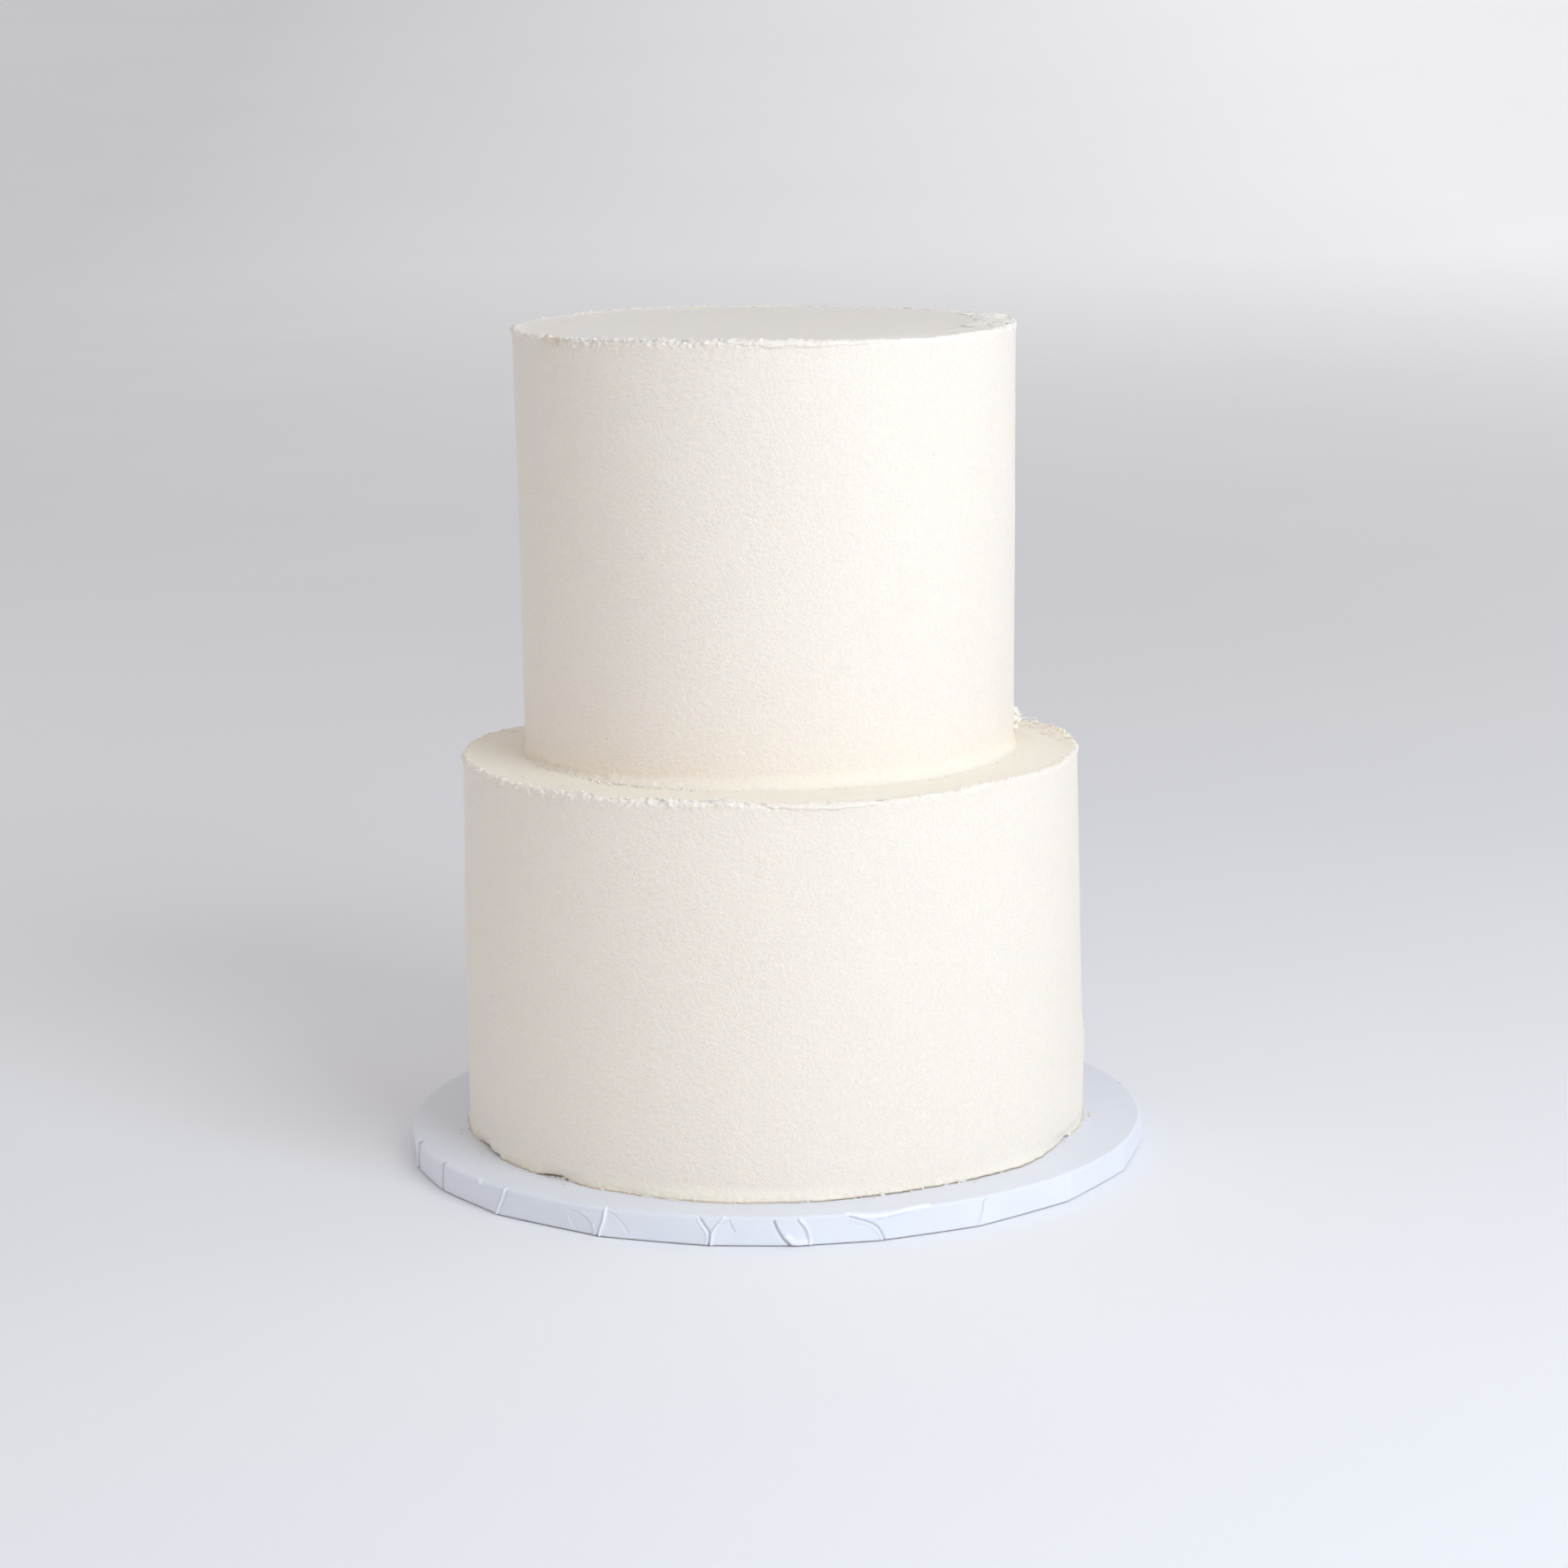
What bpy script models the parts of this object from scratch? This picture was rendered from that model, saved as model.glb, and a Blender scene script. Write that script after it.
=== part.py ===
"""A two-tier buttercream cake, built up on its round, paper-wrapped cake board.

Units are metres and +Z is up. The origin is the centre of the board's underside.
The front of the cake faces -Y, and angles run anticlockwise from +X.
"""

import math
import random

import bmesh
import bpy

# Driving dimensions
BOARD_RADIUS = 0.127
BOARD_THICKNESS = 0.0100
LOWER_HEIGHT = 0.1303
LOWER_FOOT_RADIUS = 0.1067
LOWER_TOP_RADIUS = 0.1049
LOWER_FORWARD = 0.0038
UPPER_HEIGHT = 0.1435
UPPER_FOOT_RADIUS = 0.0838
UPPER_TOP_RADIUS = 0.0846
UPPER_BACKWARD = 0.0018
RESTING_GAP = 0.0003

# The icing, which a scraper has drawn round the sides and in over the tops
SIDE_UNEVENNESS = 0.00035
TOP_UNEVENNESS = 0.0003
LIP_HEIGHT = 0.0009
LIP_WIDTH = 0.0040
LIP_ROUNDING = 0.0009
RIM_RAGGEDNESS = 0.0006
FOOT_HEIGHT = 0.005
FOOT_RAGGEDNESS = 0.0004
FOOT_DRAWN_IN = 0.0005

# Where the rim stands out or up, or dips: angle, spread, how far out and how far up
UPPER_RIM_LUMPS = (
    (math.radians(175), math.radians(3.0), 0.0009, 0.0004),
    (math.radians(-152), math.radians(5.0), 0.0005, -0.0004),
    (math.radians(-79), math.radians(8.0), 0.0004, -0.0002),
    (math.radians(8), math.radians(7.0), 0.0003, 0.0003),
    (math.radians(-105), math.radians(35.0), 0.0, 0.0005),
    (math.radians(140), math.radians(40.0), 0.0, 0.0005),
    (math.radians(5), math.radians(60.0), 0.0, -0.0006),
)
LOWER_RIM_LUMPS = (
    (math.radians(-170), math.radians(6.0), 0.0006, 0.0002),
    (math.radians(-143), math.radians(5.0), 0.0002, -0.0004),
    (math.radians(-123), math.radians(4.0), 0.0004, 0.0007),
    (math.radians(-98.5), math.radians(4.0), 0.0005, 0.0013),
    (math.radians(-80), math.radians(7.0), 0.0008, -0.0006),
)

# How far the lower tier's rim sinks along its back, and where it starts and stops to sink
BACK_SINK = 0.0021
BACK_SINK_START = math.radians(14)
BACK_SINK_END = math.radians(166)
BACK_SINK_EASE = math.radians(17)

# The cove of icing that seals the foot of the upper tier
COVE_HEIGHT = 0.0042
COVE_WIDTH = 0.0036
COVE_THINNEST_SHARE = 0.45
COVE_FRONT_ANGLE = math.radians(-55)
COVE_BLOB_ANGLE = math.radians(4)
COVE_BLOB_SPREAD = math.radians(3.5)
COVE_BLOB_SIZE = 0.0022

# Where the lower tier's foot spreads out or is bitten into: angle, spread and how far out
FOOT_MARKS = (
    (math.radians(180), math.radians(8), 0.0009),
    (math.radians(-162), math.radians(5), -0.0012),
    (math.radians(-132), math.radians(5), -0.0014),
    (math.radians(-93), math.radians(22), 0.0020),
    (math.radians(-43), math.radians(13), 0.0014),
    (math.radians(-25), math.radians(7), -0.0016),
)

# The board's wrapping, which is pleated round the edge
FRONT_PLEATS = tuple(map(math.radians, (-165, -152, -136, -116, -100, -87, -75, -59, -41, -23)))
BACK_PLEAT_COUNT = 12
PLEAT_SHIFT = 0.18
PLEAT_HEIGHT = 0.0004
PLEAT_SPREAD = math.radians(1.6)
FLAT_SHARE = 0.75
BOARD_EDGE_ROUNDING = 0.0009
BOARD_CREASE_LIFT = 0.0004

# How finely the round pieces are divided
TIER_STEPS = 158
BOARD_STEPS = 204
SIDE_RINGS = 6
TOP_RING_SHARES = (0.90, 0.45)

FULL_TURN = 2 * math.pi


def clear_scene():
    """Removes whatever objects the scene holds."""
    for thing in list(bpy.data.objects):
        bpy.data.objects.remove(thing)


def finish_material(name, colour, roughness):
    """A Principled material of one colour."""
    material = bpy.data.materials.new(name)
    material.use_nodes = True
    shader = material.node_tree.nodes["Principled BSDF"]
    shader.inputs["Base Color"].default_value = (*colour, 1.0)
    shader.inputs["Roughness"].default_value = roughness
    shader.inputs["Metallic"].default_value = 0.0
    material.diffuse_color = (*colour, 1.0)
    return material


def uneven_wave(seed, orders, size):
    """A function of the angle that sums sine waves of random phase and stays within size."""
    draw = random.Random(seed)
    waves = [(order, draw.uniform(0, FULL_TURN), draw.uniform(0.4, 1.0)) for order in orders]
    total = sum(strength for _, _, strength in waves)

    def height(angle):
        return size / total * sum(s * math.sin(order * angle + phase) for order, phase, s in waves)

    return height


def bump(angle, middle, spread):
    """A smooth bump that is 1 at the middle angle and fades out over spread."""
    apart = (angle - middle + math.pi) % FULL_TURN - math.pi
    return math.exp(-((apart / spread) ** 2))


def ease(share):
    """A smooth step from 0 to 1."""
    share = min(max(share, 0.0), 1.0)
    return share * share * (3 - 2 * share)


def turned_solid(name, rings, steps, peak, material):
    """A closed solid from rings, which run up the outside and in over the top.

    Each ring is a function of the angle that gives a point. The lowest ring is closed by one
    flat face, and the last by a fan to the peak.
    """
    shape = bmesh.new()
    loops = [[shape.verts.new(ring(FULL_TURN * step / steps)) for step in range(steps)] for ring in rings]
    pairs = [(step, (step + 1) % steps) for step in range(steps)]
    shape.faces.new(reversed(loops[0]))
    for low, high in zip(loops, loops[1:]):
        for here, ahead in pairs:
            shape.faces.new((low[here], low[ahead], high[ahead], high[here]))
    middle = shape.verts.new(peak)
    for here, ahead in pairs:
        shape.faces.new((loops[-1][here], loops[-1][ahead], middle))
    bmesh.ops.triangulate(shape, faces=[face for face in shape.faces if len(face.verts) == 4])
    mesh = bpy.data.meshes.new(name)
    shape.to_mesh(mesh)
    shape.free()
    mesh.materials.append(material)
    mesh.shade_smooth()
    mesh.set_sharp_from_angle(angle=math.radians(35))
    bpy.context.collection.objects.link(bpy.data.objects.new(name, mesh))


def iced_tier(name, seed, span, radii, middle_y, rim_lumps, sink, foot_change, material):
    """One tier: an uneven scraped side, a ragged lip round the rim and a nearly flat top.

    span holds the heights of its foot and rim, radii its radius at each, and middle_y where
    its axis stands. sink(angle) is how far its rim lies below the level of the rest, and
    foot_change(angle, height above the foot) adds to the radius near the foot.
    """
    foot, rim = span
    foot_radius, rim_radius = radii
    flare = uneven_wave(seed, (2, 3, 5), SIDE_UNEVENNESS)
    drift = uneven_wave(seed + 1, (2, 3, 4, 7), SIDE_UNEVENNESS)
    rim_out = uneven_wave(seed + 2, (9, 14, 23, 31, 47), RIM_RAGGEDNESS)
    rim_up = uneven_wave(seed + 3, (7, 13, 19, 29, 43), RIM_RAGGEDNESS)
    top_wave = uneven_wave(seed + 4, (2, 3, 5, 8), TOP_UNEVENNESS)

    def place(angle, radius, height):
        return radius * math.cos(angle), middle_y + radius * math.sin(angle), height

    def side_radius(angle, height):
        share = (height - foot) / (rim - foot)
        straight = foot_radius + (rim_radius - foot_radius) * share
        wander = flare(angle) * math.cos(math.pi * share) + drift(angle + 1.5 * share)
        return straight + wander + foot_change(angle, height - foot)

    def side_ring(height):
        share = (height - foot) / (rim - foot)
        return lambda angle: place(angle, side_radius(angle, height), height - sink(angle) * share ** 4)

    def rim_ring(inward, upward, ragged):
        def ring(angle):
            lumps = [(bump(angle, at, spread), out, up) for at, spread, out, up in rim_lumps]
            out = rim_out(angle) + sum(share * out for share, out, _ in lumps)
            up = rim_up(angle) + sum(share * up for share, _, up in lumps)
            radius = side_radius(angle, rim) - inward + ragged * out
            return place(angle, radius, rim + upward + ragged * up - sink(angle))

        return ring

    def top_ring(share):
        return lambda angle: place(angle, share * rim_radius, rim - LIP_HEIGHT + share * top_wave(angle))

    foot_levels = (0.0, 0.2 * FOOT_HEIGHT, 0.5 * FOOT_HEIGHT, FOOT_HEIGHT)
    side_start = foot + FOOT_HEIGHT
    side_span = rim - 3 * LIP_ROUNDING - side_start
    rings = [side_ring(foot + level) for level in foot_levels]
    rings += [side_ring(side_start + side_span * n / SIDE_RINGS) for n in range(1, SIDE_RINGS + 1)]
    rings += [
        rim_ring(0.0, -LIP_ROUNDING, 0.6),
        rim_ring(0.6 * LIP_ROUNDING, -0.1 * LIP_ROUNDING, 1.0),
        rim_ring(0.5 * LIP_WIDTH, -0.25 * LIP_HEIGHT, 0.8),
        rim_ring(LIP_WIDTH, -LIP_HEIGHT, 0.3),
    ]
    rings += [top_ring(share) for share in TOP_RING_SHARES]
    turned_solid(name, rings, TIER_STEPS, (0, middle_y, rim - LIP_HEIGHT), material)


def back_sink(angle):
    """How far the lower tier's rim is sunk, which it is only along its back."""
    angle = angle % FULL_TURN
    inside = ease((angle - BACK_SINK_START) / BACK_SINK_EASE)
    return BACK_SINK * inside * ease((BACK_SINK_END - angle) / BACK_SINK_EASE)


def no_sink(angle):
    """A rim that isn't sunk anywhere."""
    return 0.0


def lower_foot(angle, height):
    """The lower tier's foot: ragged, spread out here and bitten into there."""
    near_board = 1 - ease(height / FOOT_HEIGHT)
    ragged = uneven_wave(31, (6, 11, 17, 26), FOOT_RAGGEDNESS)(angle)
    marks = sum(out * bump(angle, at, spread) for at, spread, out in FOOT_MARKS)
    return near_board * (ragged - FOOT_DRAWN_IN + marks)


def upper_foot(angle, height):
    """The upper tier's foot: a cove of icing, fullest at the front right, with one blob."""
    towards_front = 0.5 + 0.5 * math.cos(angle - COVE_FRONT_ANGLE)
    fullness = COVE_THINNEST_SHARE + (1 - COVE_THINNEST_SHARE) * towards_front
    share = min(max(height / (COVE_HEIGHT * fullness), 0.0), 1.0)
    blob = COVE_BLOB_SIZE * bump(angle, COVE_BLOB_ANGLE, COVE_BLOB_SPREAD)
    return COVE_WIDTH * fullness * (1 - share) ** 2 + blob * (1 - ease(height / FOOT_HEIGHT))


def pleat_angles():
    """The angles of the pleats in the wrapping, in order. Behind they are spaced by a rule."""
    draw = random.Random(17)
    first, last = FRONT_PLEATS[0] + FULL_TURN, FRONT_PLEATS[-1]
    spacing = (first - last) / (BACK_PLEAT_COUNT + 1)
    shifts = [draw.uniform(-PLEAT_SHIFT, PLEAT_SHIFT) for _ in range(BACK_PLEAT_COUNT)]
    return list(FRONT_PLEATS) + [last + spacing * (n + 1 + shift) for n, shift in enumerate(shifts)]


def pleated_radius(angle, pleats):
    """The radius of the wrapping's lower edge, which runs nearly straight between pleats."""
    angle = (angle - pleats[0]) % FULL_TURN + pleats[0]
    before = max(pleat for pleat in pleats if pleat <= angle)
    after = min((pleat for pleat in pleats if pleat > angle), default=pleats[0] + FULL_TURN)
    chord = math.cos((after - before) / 2) / math.cos(angle - (before + after) / 2)
    ridge = PLEAT_HEIGHT * sum(bump(angle, pleat, PLEAT_SPREAD) for pleat in pleats)
    return BOARD_RADIUS * (1 - FLAT_SHARE * (1 - chord)) + ridge


def make_board(material):
    """The cake board: a round slab with a soft upper edge and flats between its pleats."""
    pleats = pleat_angles()
    crown = BOARD_RADIUS - PLEAT_HEIGHT

    def edge_ring(inward, height, flatness):
        def ring(angle):
            radius = crown - inward + flatness * (pleated_radius(angle, pleats) - crown)
            return radius * math.cos(angle), radius * math.sin(angle), height

        return ring

    top = BOARD_THICKNESS
    rounding = BOARD_EDGE_ROUNDING
    rings = [
        edge_ring(BOARD_CREASE_LIFT, 0.0, 1.0),
        edge_ring(0.0, BOARD_CREASE_LIFT, 1.0),
        edge_ring(0.0, 0.5 * top, 0.7),
        edge_ring(0.0, top - rounding, 0.3),
        edge_ring(0.3 * rounding, top - 0.3 * rounding, 0.1),
        edge_ring(rounding, top, 0.0),
    ]
    turned_solid("cake_board", rings, BOARD_STEPS, (0, 0, top), material)


def make_cake():
    """All three pieces, one on top of the other, each a hair clear of the one below."""
    icing = finish_material("buttercream", (0.86, 0.82, 0.74), 0.55)
    wrapping = finish_material("board_wrapping", (0.74, 0.77, 0.84), 0.45)
    lower_foot_height = BOARD_THICKNESS + RESTING_GAP
    lower_rim_height = BOARD_THICKNESS + LOWER_HEIGHT
    upper_foot_height = lower_rim_height - LIP_HEIGHT + TOP_UNEVENNESS + RESTING_GAP
    upper_rim_height = lower_rim_height + UPPER_HEIGHT
    make_board(wrapping)
    iced_tier("lower_tier", 41, (lower_foot_height, lower_rim_height),
              (LOWER_FOOT_RADIUS, LOWER_TOP_RADIUS), -LOWER_FORWARD, LOWER_RIM_LUMPS, back_sink,
              lower_foot, icing)
    iced_tier("upper_tier", 67, (upper_foot_height, upper_rim_height),
              (UPPER_FOOT_RADIUS, UPPER_TOP_RADIUS), UPPER_BACKWARD, UPPER_RIM_LUMPS, no_sink,
              upper_foot, icing)


clear_scene()
make_cake()
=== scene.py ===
"""The looks of a two-tier buttercream cake on its round, paper-wrapped board.

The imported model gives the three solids. This script replaces each of them with a finer mesh of
the same form, adds the crumbs and smears of icing, and sets up the floor, the light and the
camera. Units are metres, +Z is up, the front faces -Y, and angles run anticlockwise from +X, in
degrees where a table gives them.
"""

import math
import random

import bmesh
import bpy
import numpy as np
from mathutils import Matrix, Vector, noise


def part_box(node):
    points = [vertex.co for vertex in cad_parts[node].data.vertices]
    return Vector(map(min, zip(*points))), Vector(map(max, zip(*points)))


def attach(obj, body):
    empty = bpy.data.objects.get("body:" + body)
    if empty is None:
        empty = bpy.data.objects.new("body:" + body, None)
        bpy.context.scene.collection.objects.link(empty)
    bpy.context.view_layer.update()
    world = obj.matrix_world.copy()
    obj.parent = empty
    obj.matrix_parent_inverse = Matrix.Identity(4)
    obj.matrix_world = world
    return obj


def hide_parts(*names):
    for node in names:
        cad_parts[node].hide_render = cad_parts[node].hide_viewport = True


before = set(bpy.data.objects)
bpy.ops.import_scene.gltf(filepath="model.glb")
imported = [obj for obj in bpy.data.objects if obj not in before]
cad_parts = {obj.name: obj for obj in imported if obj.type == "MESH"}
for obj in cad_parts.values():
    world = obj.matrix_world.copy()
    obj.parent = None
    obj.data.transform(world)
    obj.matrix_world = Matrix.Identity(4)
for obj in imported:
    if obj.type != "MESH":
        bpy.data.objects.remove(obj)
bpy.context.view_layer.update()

MM = 0.001
FULL_TURN = 2 * math.pi

# Heights read from the frame
BOARD_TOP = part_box("cake_board")[1].z
LOWER_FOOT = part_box("lower_tier")[0].z
UPPER_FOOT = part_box("upper_tier")[0].z

# The form of the solids, which the finer meshes keep
BOARD_RADIUS = 0.127
LOWER_FOOT_RADIUS = 0.1067
LOWER_TOP_RADIUS = 0.1049
LOWER_MIDDLE_Y = -0.0038
LOWER_RIM = BOARD_TOP + 0.1303
UPPER_FOOT_RADIUS = 0.0838
UPPER_TOP_RADIUS = 0.0846
UPPER_MIDDLE_Y = 0.0018
UPPER_RIM = LOWER_RIM + 0.1435
SIDE_UNEVENNESS = 0.35 * MM
LIP_HEIGHT = 0.35 * MM
FOOT_HEIGHT = 5.0 * MM
COVE_HEIGHT = 4.6 * MM
COVE_WIDTH = 3.6 * MM
COVE_RUNOUT = 3.6 * MM
COVE_RUNOUT_TOP = 0.35 * MM
COVE_RUNOUT_HEIGHT = 1.2 * MM
COVE_THINNEST_SHARE = 0.12
COVE_FRONT_ANGLE = math.radians(-55)
COVE_RIGHT_THINNING = 0.68
FRONT_PLEATS = tuple(map(math.radians, (-165, -152, -136, -116, -100, -87, -75, -59, -41, -23)))
BACK_PLEAT_COUNT = 12
PLEAT_SHIFT = 0.18
FLAT_SHARE = 0.75

# Where the lower tier's foot spreads out or is bitten into: angle, spread and millimetres out
FOOT_MARKS = (
    (180, 8, 0.9), (-162, 5, -1.2), (-132, 5, -1.4), (-93, 22, 2.0), (-43, 13, 1.4), (-25, 7, -1.6),
)

# The rim's section: how far in from the side and how far above the rim, in millimetres
RIM_SECTION = (
    (0.0, -3.6), (-0.08, -2.4), (-0.12, -1.4), (0.08, -0.75), (0.45, -0.2), (1.05, 0.0),
    (1.8, -0.06), (2.8, -0.2), (4.0, -0.35),
)
RIM_RINGS = 28

# How far each rim lies above its level: angle and millimetres
UPPER_RIM_PROFILE = (
    (-172, -0.1), (-159, -0.6), (-149, -0.1), (-140, -0.6), (-133, -0.1), (-121, 0.2), (-113, 0.5),
    (-104, 0.6), (-92, 0.5), (-81, 0.3), (-75, -0.1), (-66, -0.4), (-56, -0.7), (-48, -0.9),
    (-40, -0.6), (-28, -0.5), (-8, -0.4), (10, 0.0), (29, -1.0), (41, -0.5), (60, -0.5), (77, -0.2),
    (97, 0.1), (116, 0.6), (135, 0.6), (150, 0.2), (172, 0.2),
)
LOWER_RIM_PROFILE = (
    (-175, 0.3), (-155, 0.2), (-143, -0.4), (-133, 0.0), (-124, 0.8), (-119, -0.1), (-108, 0.8),
    (-102, 0.5), (-98, 1.4), (-94, -0.3), (-87, 0.1), (-80, -0.2), (-71, -0.8), (-60, -0.3), (-47, 0.4),
    (-35, 0.1), (-24, -0.6), (-15, 0.0), (-2, -0.4), (8, -1.4), (14, -0.4), (22, -1.3), (31, -2.6),
    (60, -2.1), (120, -2.1), (147, -2.1), (160, -0.8), (172, 0.0),
)

# Where a rim bulges outwards: angle, spread and millimetres
UPPER_RIM_BULGES = ((175, 3, 0.9), (-152, 5, 0.5), (-143, 3.5, -0.7), (-79, 8, 0.3), (8, 7, 0.3))
LOWER_RIM_BULGES = ((-170, 6, 0.6), (-123, 4, 0.4), (-98.5, 4, 0.5), (-80, 7, 0.6), (-3, 5, 0.4))

# Icing that hangs over a rim's outside: angle and how far down it reaches, in millimetres
UPPER_FLAP = ((-101, 0.0), (-95, 1.5), (-88, 2.3), (-78, 2.2), (-70, 1.5), (-60, 0.7), (-52, 0.0))
LOWER_FLAP = ((-92, 0.0), (-89, 1.6), (-84, 2.3), (-77, 2.1), (-71, 1.1), (-66, 0.0))
FLAP_THICKNESS = 0.45 * MM

# Where a stretch of rim is craggy: angle, spread and strength, on top of an even share
UPPER_CRAGS = ((-138, 26, 0.8), (-100, 22, 0.5), (2, 24, 0.7), (70, 18, 0.2), (128, 24, 0.2))
LOWER_CRAGS = (
    (-150, 32, 0.7), (-102, 16, 0.4), (-55, 14, 0.3), (12, 12, 0.6), (55, 25, 0.6), (115, 20, 0.5),
)
EVEN_CRAGS = 0.25

# Single flakes on a rim: angle, how far in, half width, half length and half thickness, in millimetres
UPPER_FLAKES = (
    (-163, 0.6, 0.5, 1.0, 0.4), (-158, 0.7, 0.45, 2.2, 0.35), (-154, 1.0, 0.5, 1.2, 0.4),
    (-139.5, 0.6, 0.6, 1.0, 0.6), (-137, 0.3, 0.6, 0.8, 0.7), (-134.5, 0.9, 0.5, 0.9, 0.5),
    (-130, 0.4, 0.5, 0.7, 0.55), (-122, 0.5, 0.45, 0.9, 0.4), (-117, 0.5, 0.5, 1.2, 0.45),
    (-113.5, 0.8, 0.45, 1.0, 0.4), (-106, 0.4, 0.4, 1.1, 0.4), (-99, 0.6, 0.5, 0.9, 0.4),
    (156, 1.0, 0.5, 1.6, 0.5), (137, 1.2, 0.4, 1.0, 0.4), (52, 1.5, 0.5, 2.2, 0.35),
    (-6, 1.2, 0.5, 1.8, 0.45),
)
LOWER_FLAKES = (
    (-119, 0.5, 0.4, 0.8, 0.4), (-116, 0.8, 0.5, 1.0, 0.4), (-112, 2.2, 0.5, 1.0, 0.4),
    (-109.5, 1.2, 0.4, 1.5, 0.4), (-103.5, 0.6, 0.4, 1.2, 0.35), (-100, 0.4, 0.4, 1.8, 0.4),
    (-97.5, 0.5, 0.4, 1.4, 0.45), (-94, 1.0, 0.4, 1.0, 0.35), (-91, 0.5, 0.4, 1.2, 0.35),
    (-70, 1.2, 0.5, 1.8, 0.35), (18, 0.8, 0.5, 2.4, 0.35), (11, 1.4, 0.5, 1.8, 0.35),
)

# Lumps and dents in the sides: angle, height in metres, spread round, and spread up and down and
# size in millimetres
UPPER_SIDE_MARKS = (
    (-96, 0.235, 9, 16, -0.25),
    (-128, 0.185, 12, 22, -0.30),
    (60, 0.21, 14, 20, 0.25),
    (-2, 0.1475, 2.5, 3.0, 0.5),
    (176, 0.2822, 2.4, 1.4, 1.3),
    (176, 0.2785, 3.0, 1.8, -0.5),
)
LOWER_SIDE_MARKS = (
    (-4, 0.036, 9, 9, 0.7),
    (-110, 0.131, 10, 9, -0.40),
    (-122, 0.075, 14, 22, -0.30),
    (95, 0.10, 16, 24, 0.30),
)

# The clump on the upper tier's side: angle, height, and millimetres out from the side and in radius
CLUMP_LUMPS = (
    (-3.5, 0.1506, 0.2, 1.4), (-2.8, 0.1492, 0.5, 1.5), (-3.8, 0.1477, 0.8, 1.6),
    (-2.6, 0.1466, 0.5, 1.4), (-4.3, 0.1454, 0.1, 1.3), (-3.2, 0.1444, 0.0, 1.2),
    (-4.8, 0.1484, -0.1, 1.4), (-1.6, 0.1488, -0.1, 1.3),
)

# The levels of the rings at the upper tier's foot, in millimetres above the solid's underside
UPPER_FOOT_LEVELS = (
    -1.2, -0.8, -0.5, -0.25, 0.0, 0.25, 0.4, 0.6, 0.9, 1.3, 1.8, 2.4, 3.1, 4.0, 5.0, 6.1, 7.2, 8.2,
    9.2, 10.3, 11.6,
)

# How far the lower tier's foot feathers out over the board, in millimetres
FOOT_FEATHER = 0.35

# Stretches with a look of their own: middle angle and spread
STRETCHES = {
    "thin cove": (-2, 24),
    "lumpy cove": (-138, 30),
    "cove crevice": (-147, 16),
    "cove pit": (-10.5, 0.9),
    # Painted contact shadow at the foot of the upper tier on the left, where it meets the ledge
    "cove stain": (-150, 28),
    "yellow cove": (-6, 11),
    # A darker dent in the upper rim
    "stained rim": (-143, 3.5),
    "layered top": (2, 34),
    "swiped ledge": (14, 16),
    "yellow foot": (-140, 45),
    "yellow side": (-13, 9),
    "pale rim": (-103, 15),
    "ledge spot": (-120, 4.5),
    # Painted shade on the ledge along the joint of the tiers at the left
    "ledge stain": (-142, 26),
    "ledge edge": (-2, 7),
}

# The ridge near the back of the upper tier's top
BACK_RIDGE_Y = 0.074

# How many crumbs lie on the ledge and at the lower tier's foot
LEDGE_CRUMB_COUNT = 190
FOOT_CRUMB_COUNT = 150

# Knife strokes: how many, between which angles, and how thick in millimetres
TOP_STROKES = ((34, (-24, 22), (0.18, 0.34)), (16, (22, 165), (0.12, 0.2)))
LEDGE_STROKES = ((30, (0, 34), (0.15, 0.28)), (14, (140, 250), (0.12, 0.18)))

# Single bits of icing on the board, at the lower tier's foot: angle, how far out from the foot, half
# width, half length and half thickness, in millimetres
FOOT_SMEARS = (
    (-19.5, 0.3, 0.9, 1.1, 1.0), (-5, 3.0, 0.8, 2.6, 0.25), (-8, 1.6, 0.6, 2.0, 0.3),
    (-172, 0.4, 0.7, 0.9, 0.8), (-113, 0.5, 0.8, 2.6, 0.30), (-108, 0.4, 0.8, 3.2, 0.30),
    (-122, 0.6, 0.5, 1.0, 0.5), (75, 1.0, 0.8, 2.4, 0.4),
)

# Gaps under the lower tier's foot: angle, spread and millimetres high
FOOT_GAPS = (
    (-157.3, 3.0, 1.1), (-152.4, 0.9, 0.6), (-133.6, 2.6, 0.95), (-70, 14, 0.14),
    (-46, 13, 0.17), (-21, 2, 0.3), (40, 7, 0.5), (112, 9, 0.6),
)

# The camera, worked out from the outlines of both tiers and the board in the photograph
CAMERA_PLACE = Vector((0.00446, -1.31052, 0.37777))
CAMERA_PITCH = math.radians(10.89)
CAMERA_ROLL = math.radians(0.89)
CAMERA_LENS_MM = 89.04
SENSOR_MM = 36.0

# The soft lights: azimuth from the front, elevation, distance, size, power in watts and colour
AREA_LIGHTS = {
    "window": (37, 31, 1.6, 0.9, 14.8, (0.815, 0.900, 1.0)),
    "left_glow": (-112, 14, 1.5, 0.8, 1.6, (0.90, 0.95, 1.0)),
    "right_glow": (105, 22, 1.5, 0.8, 1.5, (0.93, 0.96, 1.0)),
}

# How finely the meshes are divided
FINE_SPLIT = 3
UPPER_STEPS = 360
LOWER_STEPS = 440
BOARD_TOP_STEPS = 900
BOARD_EDGE_STEPS = 2700
BASE_STEPS = 360
FLOOR_STEPS = 180


def uneven_wave(seed, orders, size):
    """A function of the angles: sine waves of random phase, within size in all."""
    draw = random.Random(seed)
    waves = [(order, draw.uniform(0, FULL_TURN), draw.uniform(0.4, 1.0)) for order in orders]
    total = sum(strength for _, _, strength in waves)

    def height(angles):
        return size / total * sum(s * np.sin(order * angles + phase) for order, phase, s in waves)

    return height


def bell(values, middle, width):
    """1 at the middle value, fading out smoothly over the width."""
    return np.exp(-(((values - middle) / width) ** 2))


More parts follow.
